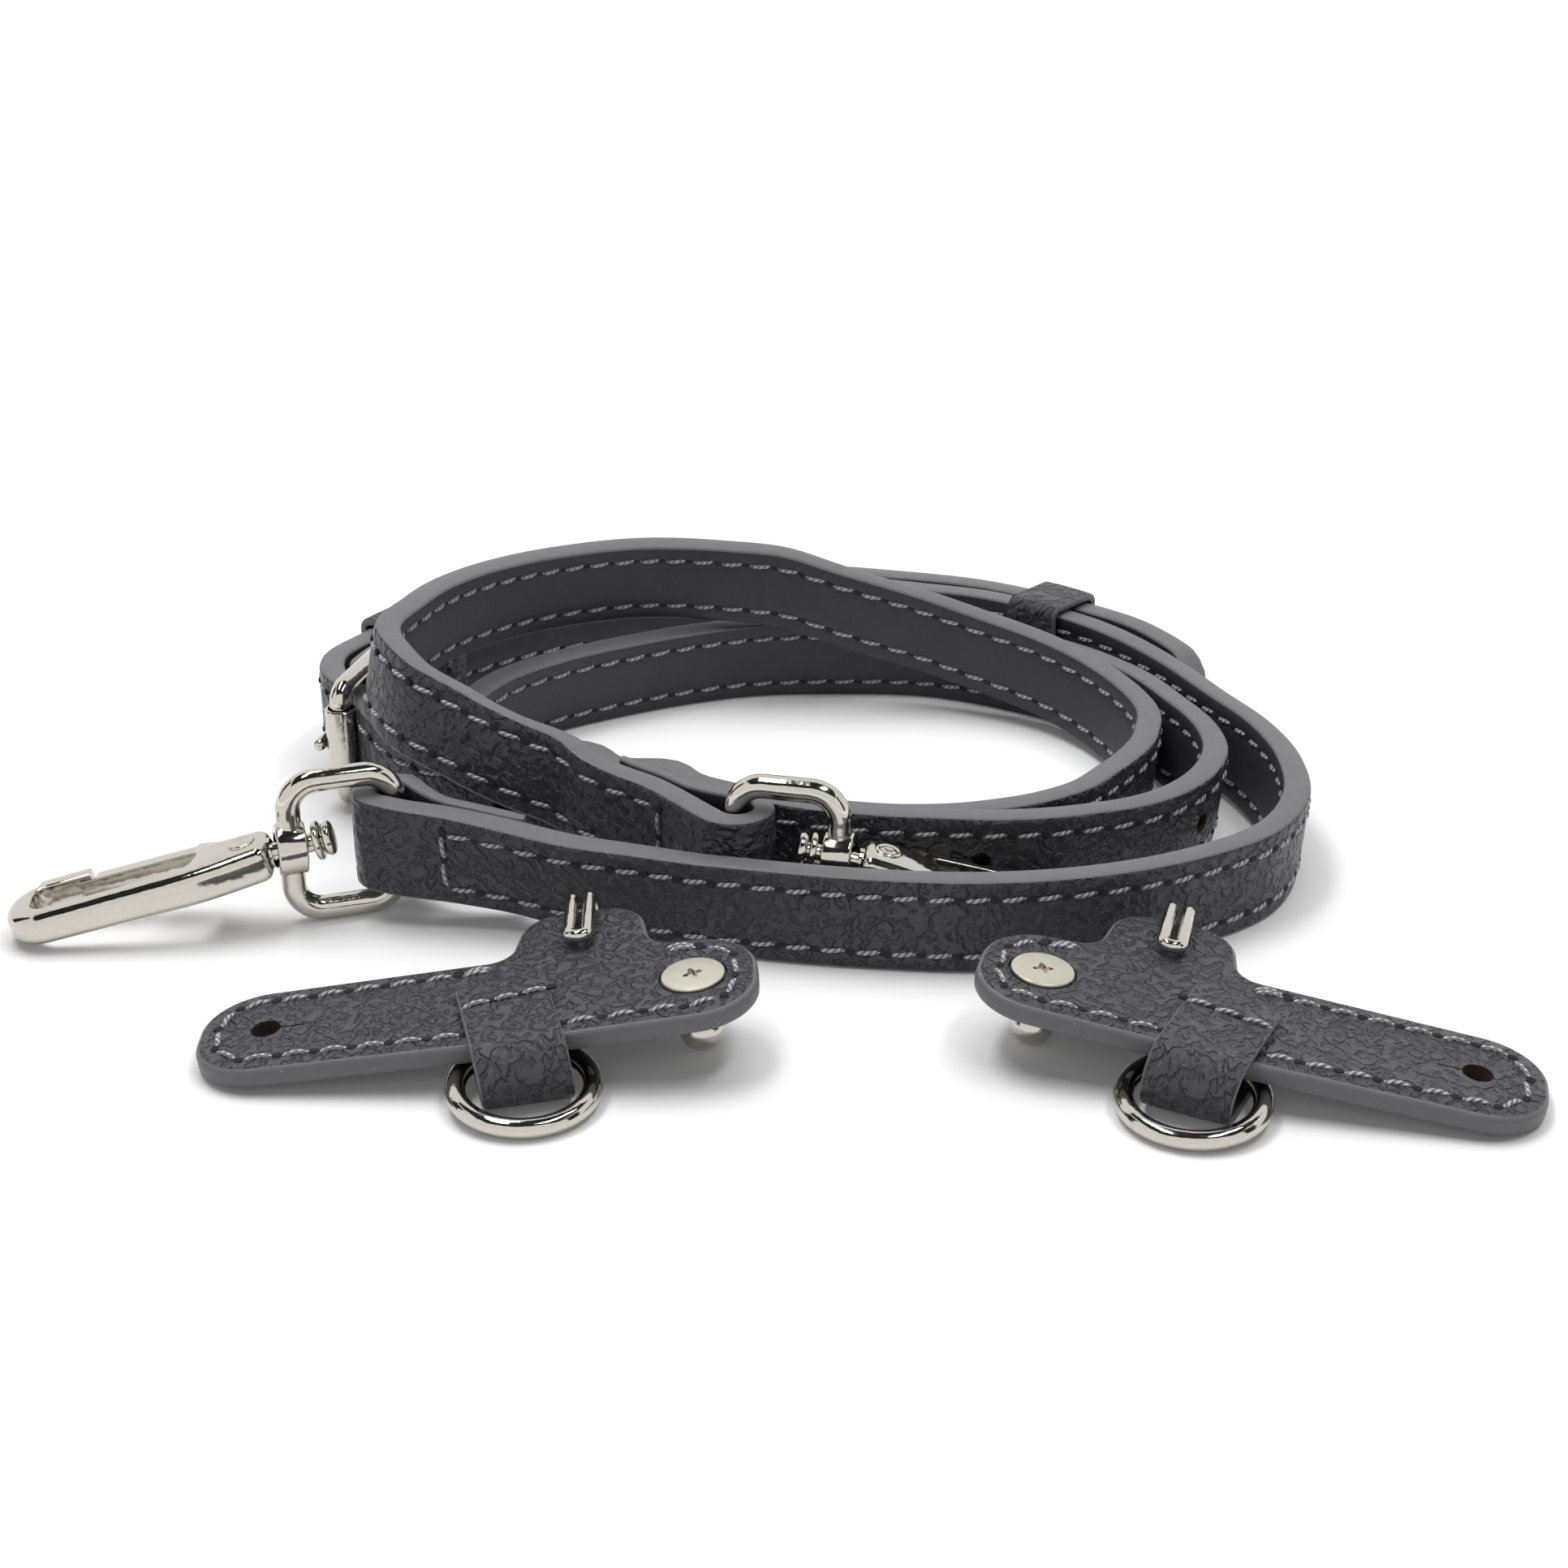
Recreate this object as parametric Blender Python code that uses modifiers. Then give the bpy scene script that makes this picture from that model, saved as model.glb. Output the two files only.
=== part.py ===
"""Detachable bag strap with two swivel hooks, a roller buckle and a pair of leather ring tabs.

The strap lies loosely wound on its edge. The short strap makes one turn, the long strap
runs from its tip through the buckle and winds inside it. Units are metres, Z is up.
"""
import math

import bmesh
import bpy
from mathutils import Matrix, Vector

MM = 0.001

# Clearances shared by every pair of pieces
SEAT_GAP = 0.3 * MM
LAYER_GAP = 0.4 * MM
CUT_OVERRUN = 1.0 * MM

# Strap leather
STRAP_WIDTH = 12.0 * MM
STRAP_THICKNESS = 3.5 * MM
STRAP_EDGE_BEVEL = 0.7 * MM
STATION_STEP = 4.8 * MM
FOLD_STEPS = 8
TAIL_LENGTH = 18.0 * MM
TAIL_CLOSING = 9.0 * MM
TAIL_THICKNESS = 1.7 * MM
PUNCH_DIAMETER = 2.8 * MM
PUNCH_PITCH = 32.0 * MM
PUNCHES_TO_TIP = 2
PUNCHES_TO_COIL = 4

# Coil, seen from above. The outline is the middle line of the short strap:
# angle in degrees, distance from the middle as a share of the coil radius.
COIL_RADIUS = 66.0 * MM
OUTLINE_SHARES = [
    (5, 0.876), (18, 0.838), (31, 0.812), (43, 0.788), (60, 0.787), (81, 0.805),
    (101, 0.825), (120, 0.842), (137, 0.864), (152, 0.898), (163, 0.925), (170, 0.939),
    (195, 0.957), (217.4, 0.978), (224, 0.892), (230, 0.830), (237, 0.785), (246, 0.746),
    (256, 0.732), (268, 0.745), (281, 0.787), (293, 0.851), (306, 0.929), (317, 0.993),
    (327, 1.040), (336, 1.036), (345, 0.997), (355, 0.939),
]
# Along the short strap: angle, lift as a share of the strap width, lean in degrees
# (a positive lean tips the upper edge towards the middle of the coil).
SHORT_LIFT_SHARES = [
    (217.4, 0.36, 0), (224, 0.29, -4), (230, 0.2, -8), (237, 0.1, -6), (246, 0.04, -3),
    (256, 0.0, 0), (281, 0.0, 0), (317, 0.0, 0), (336, 0.0, -4), (355, 0.0, -8),
    (378, 0.04, -5), (391, 0.11, 0), (403, 0.13, 0), (415, 0.11, 0), (430, 0.04, 0),
    (461, 0.08, 0), (480, 0.18, 0), (497, 0.25, 0), (512, 0.267, 0), (530, 0.267, 0),
]
# Along the long strap from its tip to the buckle and from the buckle to its hook:
# angle, layers inside the outline, lift as a share of the strap width, lean in degrees.
TIP_SHARES = [
    (16, -1.08, 0.03, 0), (24, -1.32, 0.06, 0), (32, -1.36, 0.1, 0), (39, -1.22, 0.12, 0),
    (47, -1.08, 0.125, 0), (60, -1.03, 0.1, 0), (75, -1.03, 0.04, 0), (101, -1.03, 0.08, 0),
    (120, -1.03, 0.18, 0), (137, -1.03, 0.25, 0), (152, -1.03, 0.267, 0), (162, -1.03, 0.267, 0),
]
WINDING_SHARES = [
    (191.4, 1.85, 0.19, 0), (196, 2.6, 0.1, 0), (200.5, 3.9, 0.05, 0), (205.7, 5.9, 0.05, 0),
    (212.8, 7.4, 0.08, 0), (220.4, 6.85, 0.12, 0), (230, 5.35, 0.15, 0), (245, 4.45, 0.16, 0),
    (260, 4.05, 0.16, 0), (273, 3.85, 0.15, 0), (284.5, 4.05, 0.13, 0), (295, 4.38, 0.1, 0),
    (307, 4.5, 0.05, 0), (323, 4.25, 0, 0), (336, 3.3, 0, -3), (346, 2.42, 0, -6),
    (358, 1.85, 0, -7), (370, 1.55, 0, -6), (385, 1.7, 0, -3), (402, 2.15, 0, 0),
    (419, 2.95, 0, 2), (440, 4.3, 0, 4), (463, 4.95, 0, 6), (488, 5.1, 0, 8),
    (508, 4.7, 0, 9), (525, 4.15, 0, 11), (539, 4.15, 0, 11), (552, 5.3, 0, 8),
    (566, 9.0, 0, 4), (583, 8.5, 0, 0), (601, 6.1, 0, 0), (618, 5.2, 0, 0),
    (634, 5.02, 0, 0), (646, 5.18, 0, 0), (658, 5.5, 0, 0), (675, 6.0, 0, 0),
    (693, 6.2, 0, 0), (710, 4.4, 0, -4), (723, 2.95, 0.02, -5), (738, 2.75, 0.1, -2),
    (756, 3.2, 0.25, 2), (773, 4.1, 0.46, 4), (799, 5.75, 0.84, 5), (813, 5.85, 1.02, 6),
    (827, 5.5, 1.08, 8), (847, 4.15, 1.12, 10), (866, 3.55, 1.18, 10), (884, 3.25, 1.27, 9),
    (900, 2.65, 1.33, 9), (911, 1.85, 1.32, 11), (921, 2.65, 1.22, 13), (929.5, 4.55, 0.98, 12),
    (938, 5.55, 0.69, 8), (949, 4.0, 0.47, 4), (963, 2.8, 0.37, 0), (970, 2.0, 0.33, 0),
    (976, 1.22, 0.31, 0),
]

# Roller buckle at the end of the short strap
BUCKLE_WIRE = 2.8 * MM
BUCKLE_LENGTH = 16.7 * MM
BUCKLE_PLAY = 0.5 * MM
BUCKLE_HEIGHT = STRAP_WIDTH + 2 * (BUCKLE_WIRE + BUCKLE_PLAY)
BUCKLE_CORNER = 2.2 * MM
BUCKLE_HEADING = 77.0
ROLLER_DIAMETER = 4.2 * MM
ROLLER_WALL = 0.4 * MM
TONGUE_DIAMETER = 1.7 * MM
TONGUE_EYE_DIAMETER = 5.6 * MM
TONGUE_EYE_HEIGHT = 3.6 * MM
TONGUE_TIP = 0.4 * MM
TONGUE_PLAY = 0.6 * MM
PASSAGE_PLAY = 0.5 * MM

# Leather keepers
KEEPER_LENGTH = 8.5 * MM
KEEPER_THICKNESS = 1.1 * MM
KEEPER_CORNER = 1.0 * MM
KEEPER_PLAY = 0.5 * MM
FIXED_KEEPER_SETBACK = 14.2 * MM
SLIDING_KEEPER_ANGLE = 405.0

# Swivel hooks: ring
RING_WIRE = 3.0 * MM
RING_PLAY = 1.1 * MM
RING_HEIGHT = STRAP_WIDTH + 2 * (RING_WIRE + RING_PLAY)
RING_REACH = 13.0 * MM
RING_CORNER = 3.6 * MM
COLLAR_DIAMETER = 6.6 * MM
COLLAR_LENGTH = 3.6 * MM
COLLAR_BORE = 4.4 * MM
# Swivel hooks: post and washer
POST_DIAMETER = 2.4 * MM
NECK_DIAMETER = 3.8 * MM
NECK_LENGTH = 0.2 * MM
SHOULDER_PLAY = 1.35 * MM
WASHER_DIAMETER = 5.0 * MM
WASHER_THICKNESS = 0.8 * MM
WASHER_PLAY = 1.3 * MM
CAP_DIAMETER = 4.4 * MM
CAP_LENGTH = 1.2 * MM
# Swivel hooks: body and gate
BODY_LENGTH = 28.6 * MM
BODY_WIDTH = 9.2 * MM
BODY_HEIGHT = 4.8 * MM
TIP_HEIGHT = 4.0 * MM
BLOCK_WIDTH = 6.8 * MM
BLOCK_LENGTH = 9.4 * MM
WALL_THICKNESS = 2.5 * MM
NOSE_LENGTH = 7.2 * MM
NOSE_LEDGE = 1.1 * MM
NOTCH_LENGTH = 1.9 * MM
TIP_THICKNESS = 4.4 * MM
BODY_BEVEL = 0.5 * MM
GATE_THICKNESS = 1.9 * MM
GATE_HEIGHT = 2.2 * MM
GATE_EYE = 3.8 * MM
GATE_PIN_SETBACK = 3.2 * MM
PIN_DIAMETER = 1.8 * MM
RIVET_DIAMETER = 3.4 * MM
RIVET_HEAD = 0.5 * MM
HOOKS = {
    "hook_a": {"ring_heading": 198.0, "hook_heading": 187.0, "swivel": 180.0},
    "hook_b": {"ring_heading": -13.0, "hook_heading": -1.0, "swivel": 0.0},
}

# Leather tabs, measured from the button hole
TAB_THICKNESS = 2.4 * MM
TAB_WIDTH = 18.4 * MM
TAB_END_WIDTH = 16.8 * MM
TAB_END_MARGIN = 7.7 * MM
TAB_STUD_DISTANCE = 48.0 * MM
TAB_STUD_MARGIN = 7.2 * MM
TAB_END_RADIUS = 7.4 * MM
TAB_BEVEL = 0.6 * MM
LOBE_WIDTH = 13.4 * MM
LOBE_REACH = 19.2 * MM
LOBE_DISTANCE = 34.9 * MM
LOBE_RADIUS = 5.2 * MM
LOBE_FILLET = 3.0 * MM
BUTTON_HOLE = 3.4 * MM
BUTTON_SLIT_LENGTH = 6.0 * MM
BUTTON_SLIT_WIDTH = 0.5 * MM
# Leather loop that holds the round ring
LOOP_WIDTH = 10.0 * MM
LOOP_THICKNESS = 0.9 * MM
LOOP_DISTANCE = 26.8 * MM
LOOP_REAR = 2.6 * MM
LOOP_FRONT = 14.0 * MM
LOOP_UNDER_REAR = 5.0 * MM
LOOP_SKEW = 12.0
O_RING_DIAMETER = 17.2 * MM
O_RING_WIRE = 2.3 * MM
O_RING_PLAY = 0.4 * MM
O_RING_DROP = 0.4 * MM
# Screw and ball stud
SCREW_HEAD = 7.2 * MM
SCREW_HEAD_THICKNESS = 0.7 * MM
SCREW_SINK = 0.3 * MM
SCREW_SHANK = 2.1 * MM
SCREW_REACH = 3.4 * MM
CROSS_LENGTH = 3.6 * MM
CROSS_WIDTH = 0.9 * MM
CROSS_DEPTH = 0.4 * MM
STUD_FLANGE = 5.8 * MM
STUD_FLANGE_THICKNESS = 0.8 * MM
STUD_NECK = 4.0 * MM
STUD_BALL = 5.0 * MM
STUD_DROP = 6.9 * MM
# Wire hook round the edge of the lobe
WIRE_DIAMETER = 1.25 * MM
WIRE_SPREAD = 3.6 * MM
WIRE_UPPER = 5.4 * MM
WIRE_LOWER = 6.5 * MM
# Where the button hole of each tab lies, in front of the coil, its heading and its roll.
# Side is 1 where the lobe is to the left of the line from hole to stud.
LEFT_TAB_CLEARANCE = 6.7 * MM
RIGHT_TAB_CLEARANCE = 15.9 * MM
TABS = {
    "tab_left": {"x": -0.9 * COIL_RADIUS, "y": -COIL_RADIUS - LEFT_TAB_CLEARANCE,
                 "heading": 1.7, "roll": 1.0, "side": 1},
    "tab_right": {"x": 1.1 * COIL_RADIUS, "y": -COIL_RADIUS - RIGHT_TAB_CLEARANCE,
                  "heading": 165.3, "roll": 0.0, "side": -1},
}

ARC_STEPS = 4
ROUND_SIDES = 22
MERGE = 0.00001

parts = None
cutters = None


def clear_scene():
    for item in list(bpy.data.objects):
        bpy.data.objects.remove(item)


def new_collection(name):
    collection = bpy.data.collections.new(name)
    bpy.context.scene.collection.children.link(collection)
    return collection


def new_material(name, colour, roughness, metallic):
    material = bpy.data.materials.new(name)
    material.use_nodes = True
    shader = material.node_tree.nodes["Principled BSDF"]
    shader.inputs["Base Color"].default_value = (*colour, 1.0)
    shader.inputs["Roughness"].default_value = roughness
    shader.inputs["Metallic"].default_value = metallic
    return material


def leather(name):
    return new_material(name, (0.075, 0.075, 0.088), 0.55, 0.0)


def nickel(name):
    return new_material(name, (0.78, 0.75, 0.69), 0.16, 1.0)


def add_object(name, mesh, material):
    item = bpy.data.objects.new(name, mesh)
    mesh.materials.clear()
    mesh.materials.append(material)
    parts.objects.link(item)
    return item


def add_cutter(name, mesh):
    item = bpy.data.objects.new(name, mesh)
    cutters.objects.link(item)
    item.hide_render = True
    item.display_type = "WIRE"
    return item


def add_empty(name, matrix, parent=None):
    item = bpy.data.objects.new(name, None)
    parts.objects.link(item)
    attach(item, matrix, parent)
    return item


def attach(item, matrix, parent=None):
    """Give the object its own matrix, measured from its parent."""
    item.parent = parent
    item.matrix_local = matrix


def mesh_from_bmesh(name, bm):
    mesh = bpy.data.meshes.new(name)
    bm.to_mesh(mesh)
    bm.free()
    return mesh


def shade_round(mesh, angle=35.0):
    mesh.shade_smooth()
    mesh.set_sharp_from_angle(angle=math.radians(angle))


def cylinder_mesh(name, radius, length, sides=ROUND_SIDES, matrix=None):
    bm = bmesh.new()
    bmesh.ops.create_cone(bm, cap_ends=True, segments=sides, radius1=radius, radius2=radius,
                          depth=length, matrix=matrix or Matrix())
    return mesh_from_bmesh(name, bm)


def box_mesh(name, size, centre):
    bm = bmesh.new()
    bmesh.ops.create_cube(bm, size=1.0, matrix=Matrix.Translation(centre) @ Matrix.Diagonal((*size, 1.0)))
    return mesh_from_bmesh(name, bm)


def merged_mesh(name, meshes):
    bm = bmesh.new()
    for mesh in meshes:
        bm.from_mesh(mesh)
        bpy.data.meshes.remove(mesh)
    return mesh_from_bmesh(name, bm)


def mesh_of_curve(name, curve, flat=False):
    """Turn curve data into a closed mesh, its caps welded."""
    holder = bpy.data.objects.new(name, curve)
    bpy.context.scene.collection.objects.link(holder)
    evaluated = holder.evaluated_get(bpy.context.evaluated_depsgraph_get())
    mesh = bpy.data.meshes.new_from_object(evaluated)
    bpy.data.objects.remove(holder)
    bm = bmesh.new()
    bm.from_mesh(mesh)
    bmesh.ops.remove_doubles(bm, verts=bm.verts, dist=MERGE)
    if flat:
        bmesh.ops.dissolve_limit(bm, angle_limit=math.radians(1.0), verts=bm.verts, edges=bm.edges)
    bm.to_mesh(mesh)
    bm.free()
    return mesh


def add_spline(curve, points, closed):
    spline = curve.splines.new("POLY")
    spline.points.add(len(points) - 1)
    for target, point in zip(spline.points, points):
        target.co = (*point, 1.0)
    spline.use_cyclic_u = closed


def wire_mesh(name, points, diameter, closed=False, resolution=2):
    """A round wire along 3-D points, its ends capped."""
    curve = bpy.data.curves.new(name, "CURVE")
    curve.dimensions = "3D"
    curve.bevel_depth = diameter / 2
    curve.bevel_resolution = resolution
    curve.use_fill_caps = True
    add_spline(curve, points, closed)
    mesh = mesh_of_curve(name, curve)
    shade_round(mesh, 60.0)
    return mesh


def plate_mesh(name, outlines, thickness):
    """A flat plate from closed outlines in the XY plane, the later ones being holes."""
    curve = bpy.data.curves.new(name, "CURVE")
    curve.dimensions = "2D"
    curve.fill_mode = "BOTH"
    curve.extrude = thickness / 2
    for outline in outlines:
        add_spline(curve, [(x, y, 0.0) for x, y in outline], True)
    return mesh_of_curve(name, curve, flat=True)


def turned_object(name, profile, material):
    """Turn an (radius, height) profile about Z with a Screw modifier."""
    bm = bmesh.new()
    points = [bm.verts.new((radius, 0.0, height)) for radius, height in profile]
    for first, second in zip(points, points[1:]):
        bm.edges.new((first, second))
    item = add_object(name, mesh_from_bmesh(name, bm), material)
    screw = item.modifiers.new("Turn", "SCREW")
    screw.steps = ROUND_SIDES
    screw.render_steps = ROUND_SIDES
    screw.use_merge_vertices = True
    screw.merge_threshold = MERGE
    screw.use_smooth_shade = True
    return item


def add_bevel(item, width, segments=1, angle=50.0):
    bevel = item.modifiers.new("Rounded edges", "BEVEL")
    bevel.width = width
    bevel.segments = segments
    bevel.limit_method = "ANGLE"
    bevel.angle_limit = math.radians(angle)
    return bevel


def cut(item, cutter, operation="DIFFERENCE"):
    boolean = item.modifiers.new("Cut by " + cutter.name, "BOOLEAN")
    boolean.operation = operation
    boolean.solver = "EXACT"
    boolean.object = cutter


def filleted(corners, closed=True, steps=ARC_STEPS):
    """Points of a polygon in a plane whose corners (u, v, radius) are rounded."""
    points = []
    count = len(corners)
    for index, (u, v, radius) in enumerate(corners):
        corner = Vector((u, v))
        ends = not closed and index in (0, count - 1)
        if ends or not radius:
            points.append(corner)
            continue
        before = Vector(corners[index - 1][:2]) - corner
        after = Vector(corners[(index + 1) % count][:2]) - corner
        before.normalize()
        after.normalize()
        half = before.angle(after) / 2
        reach = radius / math.tan(half)
        centre = corner + (before + after).normalized() * radius / math.sin(half)
        start = corner + before * reach - centre
        finish = corner + after * reach - centre
        sweep = start.angle_signed(finish)
        for step in range(steps + 1):
            turn = -sweep * step / steps
            points.append(centre + Matrix.Rotation(turn, 2) @ start)
    return points


def smooth(rows, place, column):
    """Smooth curve through one column of a table whose first column rises."""
    last = len(rows) - 1
    index = 0
    while index < last - 1 and rows[index + 1][0] < place:
        index += 1

    def slope(first, second):
        return (rows[second][column] - rows[first][column]) / (rows[second][0] - rows[first][0])

    def tangent(at):
        if at == 0:
            return slope(0, 1)
        if at == last:
            return slope(last - 1, last)
        before = rows[at][0] - rows[at - 1][0]
        after = rows[at + 1][0] - rows[at][0]
        return (slope(at - 1, at) * after + slope(at, at + 1) * before) / (before + after)

    span = rows[index + 1][0] - rows[index][0]
    t = (place - rows[index][0]) / span
    first = rows[index][column]
    second = rows[index + 1][column]
    return (first * (2 * t**3 - 3 * t**2 + 1) + tangent(index) * span * (t**3 - 2 * t**2 + t)
            + second * (3 * t**2 - 2 * t**3) + tangent(index + 1) * span * (t**3 - t**2))


def closed_outline():
    rows = []
    for turn in (-360, 0, 360):
        rows += [(angle + turn, share) for angle, share in OUTLINE_SHARES]
    return rows


CLOSED_OUTLINE = closed_outline()
LAYER_PITCH = STRAP_THICKNESS + LAYER_GAP


def outline_radius(angle):
    return COIL_RADIUS * smooth(CLOSED_OUTLINE, angle % 360, 1)


def direction(degrees):
    return Vector((math.cos(math.radians(degrees)), math.sin(math.radians(degrees))))


def left_of(vector):
    return Vector((-vector.y, vector.x))


def row_through(point, lift_share, lean, near_angle):
    """Table row of a strand that passes through a point of the plan."""
    angle = math.degrees(math.atan2(point.y, point.x))
    angle += 360 * round((near_angle - angle) / 360)
    return (angle, (outline_radius(angle) - point.length) / LAYER_PITCH, lift_share, lean)


def strand(rows, offset_column=1):
    """Evenly spaced stations (place, travel direction, lift, lean) along a strand."""
    samples = []
    first = rows[0][0]
    count = math.ceil((rows[-1][0] - first) * 2)
    for index in range(count + 1):
        angle = first + (rows[-1][0] - first) * index / count
        radius = outline_radius(angle)
        if offset_column:
            radius -= smooth(rows, angle, offset_column) * LAYER_PITCH
        lift = smooth(rows, angle, offset_column + 1) * STRAP_WIDTH
        lean = smooth(rows, angle, offset_column + 2)
        samples.append((direction(angle) * radius, lift, lean))
    lengths = [0.0]
    for before, after in zip(samples, samples[1:]):
        lengths.append(lengths[-1] + (after[0] - before[0]).length)
    steps = math.ceil(lengths[-1] / STATION_STEP)
    stations = []
    at = 0
    for step in range(steps + 1):
        wanted = lengths[-1] * step / steps
        while at < len(lengths) - 2 and lengths[at + 1] < wanted:
            at += 1
        t = (wanted - lengths[at]) / (lengths[at + 1] - lengths[at])
        place = samples[at][0].lerp(samples[at + 1][0], t)
        travel = (samples[at + 1][0] - samples[at][0]).normalized()
        lift = samples[at][1] + (samples[at + 1][1] - samples[at][1]) * t
        lean = samples[at][2] + (samples[at + 1][2] - samples[at][2]) * t
        stations.append((place, travel, max(lift, 0.0), lean))
    return stations


def across(travel, lean):
    """Unit vector up the width of the strap, tipped by its lean."""
    side = left_of(travel) * math.sin(math.radians(lean))
    return Vector((side.x, side.y, math.cos(math.radians(lean))))


def middle_height(lift, lean):
    tilt = abs(math.radians(lean))
    return lift + (STRAP_WIDTH * math.cos(tilt) + STRAP_THICKNESS * math.sin(tilt)) / 2


def ribbon_row(station, shift=None, thickness=STRAP_THICKNESS):
    """Centre, width direction and thickness of the ribbon at a station."""
    place, travel, lift, lean = station
    if shift:
        place = place + left_of(travel) * shift
    return (Vector((place.x, place.y, middle_height(lift, lean))), across(travel, lean), thickness)


def folded_tail(stations, bar_radius):
    """Rows of a strap end that turns round a bar on its inner side and lies back.

    The stations start at the bar. The rows returned run from the tail's end to the bar.
    """
    place, travel, lift, lean = stations[0]
    inward = left_of(travel)
    if (stations[0][0] + inward * MM).length > stations[0][0].length:
        inward = -inward
    bend = bar_radius + SEAT_GAP + STRAP_THICKNESS / 2
    bar = place + inward * bend
    outward = (place - stations[1][0]).normalized()
    height = middle_height(lift, lean)
    rows = []
    for step in range(1, FOLD_STEPS):
        turn = math.pi * step / FOLD_STEPS
        spot = bar + (outward * math.sin(turn) - inward * math.cos(turn)) * bend
        share = 1 - 0.3 * step / FOLD_STEPS
        rows.append((Vector((spot.x, spot.y, height)), across(travel, lean), STRAP_THICKNESS * share))
    walked = 0.0
    rest = (STRAP_THICKNESS + TAIL_THICKNESS) / 2 + LAYER_GAP
    for index, station in enumerate(stations):
        if index:
            walked += (station[0] - stations[index - 1][0]).length
        if walked > TAIL_LENGTH:
            break
        closing = min(walked / TAIL_CLOSING, 1.0)
        ease = closing * closing * (3 - 2 * closing)
        offset = 2 * bend + (rest - 2 * bend) * ease
        thickness = STRAP_THICKNESS * 0.7 + (TAIL_THICKNESS - STRAP_THICKNESS * 0.7) * ease
        sign = 1 if left_of(station[1]).dot(inward) > 0 else -1
        rows.append(ribbon_row(station, sign * offset, thickness))
    rows.reverse()
    return rows, bar, outward


def ribbon_object(name, rows, material, width=STRAP_WIDTH, bevel=STRAP_EDGE_BEVEL):
    """A strip through the rows, thickened with Solidify and softened along its edges."""
    thickest = max(thickness for centre, up, thickness in rows)
    bm = bmesh.new()
    weights = bm.verts.layers.deform.verify()
    previous = None
    for centre, up, thickness in rows:
        pair = [bm.verts.new(centre - up * width / 2), bm.verts.new(centre + up * width / 2)]
        for vertex in pair:
            vertex[weights][0] = thickness / thickest
        if previous:
            bm.faces.new((previous[0], pair[0], pair[1], previous[1]))
        previous = pair
    item = add_object(name, mesh_from_bmesh(name, bm), material)
    item.vertex_groups.new(name="thickness")
    solidify = item.modifiers.new("Leather", "SOLIDIFY")
    solidify.thickness = thickest
    solidify.offset = 0.0
    solidify.use_even_offset = True
    solidify.vertex_group = "thickness"
    add_bevel(item, bevel)
    return item


def short_strap_stations():
    return strand([(angle, lift, lean) for angle, lift, lean in SHORT_LIFT_SHARES], 0)


def buckle_bars(short_stations):
    """Pivot bar, direction from the pivot to the roller bar, and outward direction."""
    reversed_end = [(place, -travel, lift, -lean) for place, travel, lift, lean in reversed(short_stations)]
    rows, pivot, outward = folded_tail(reversed_end, BUCKLE_WIRE / 2)
    along = -direction(BUCKLE_HEADING)
    out = left_of(along)
    if (pivot + out * MM).length < pivot.length:
        out = -out
    return rows, pivot, along, out


def long_strap_rows(pivot, along, out):
    """Rows of the long strap: tip, passage through the buckle, winding.

    The passage runs along the line that touches a circle round the folded end on its outer
    side and a circle round the roller on its inner side.
    """
    fold = BUCKLE_WIRE / 2 + SEAT_GAP + STRAP_THICKNESS
    outside = fold + 2 * LAYER_GAP + STRAP_THICKNESS / 2
    inside = ROLLER_DIAMETER / 2 + PASSAGE_PLAY + STRAP_THICKNESS / 2
    lift_share = (BUCKLE_HEIGHT - STRAP_WIDTH) / 2 / STRAP_WIDTH
    slope = math.asin((outside + inside) / BUCKLE_LENGTH)
    normal = along * math.sin(slope) + out * math.cos(slope)
    roller = pivot + along * BUCKLE_LENGTH
    leave = pivot + normal * outside
    arrive = roller - normal * inside
    points = [pivot + out * outside, leave, leave.lerp(arrive, 0.5), arrive, roller - out * inside]
    passage = [row_through(point, lift_share, 0, 180) for point in points]
    return TIP_SHARES + passage + WINDING_SHARES


def station_at(stations, wanted):
    walked = 0.0
    for before, after in zip(stations, stations[1:]):
        step = (after[0] - before[0]).length
        if walked + step >= wanted:
            t = (wanted - walked) / step
            travel = before[1].lerp(after[1], t).normalized()
            lift = before[2] + (after[2] - before[2]) * t
            lean = before[3] + (after[3] - before[3]) * t
            return (before[0].lerp(after[0], t), travel, lift, lean)
        walked += step
    return stations[-1]


def length_to(stations, place):
    """Distance along the strand to its station nearest to a place."""
    walked = 0.0
    best = 0.0
    nearest = (stations[0][0] - place).length
    for before, after in zip(stations, stations[1:]):
        walked += (after[0] - before[0]).length
        gap = (after[0] - place).length
        if gap < nearest:
            nearest = gap
            best = walked
    return best


def frame_of(place, height, travel):
    """Matrix whose X runs along the travel, Y across it to the left and Z up."""
    side = left_of(travel)
    matrix = Matrix(((travel.x, side.x, 0.0), (travel.y, side.y, 0.0), (0.0, 0.0, 1.0))).to_4x4()
    matrix.translation = Vector((place.x, place.y, height))
    return matrix


def punch_holes(strap, stations, tongue_at):
    """Punched holes at an even pitch on both sides of the one that the tongue uses."""
    meshes = []
    for index in range(-PUNCHES_TO_TIP, PUNCHES_TO_COIL + 1):
        if index == 0:
            continue
        place, travel, lift, lean = station_at(stations, tongue_at + index * PUNCH_PITCH)
        up = across(travel, lean)
        through = up.cross(Vector((travel.x, travel.y, 0.0)))
        matrix = through.to_track_quat("Z", "Y").to_matrix().to_4x4()
        matrix.translation = Vector((place.x, place.y, middle_height(lift, lean)))
        length = STRAP_THICKNESS + CUT_OVERRUN
        meshes.append(cylinder_mesh("punch", PUNCH_DIAMETER / 2, length, 12, matrix))
    cut(strap, add_cutter("punches", merged_mesh("punches", meshes)))


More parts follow.
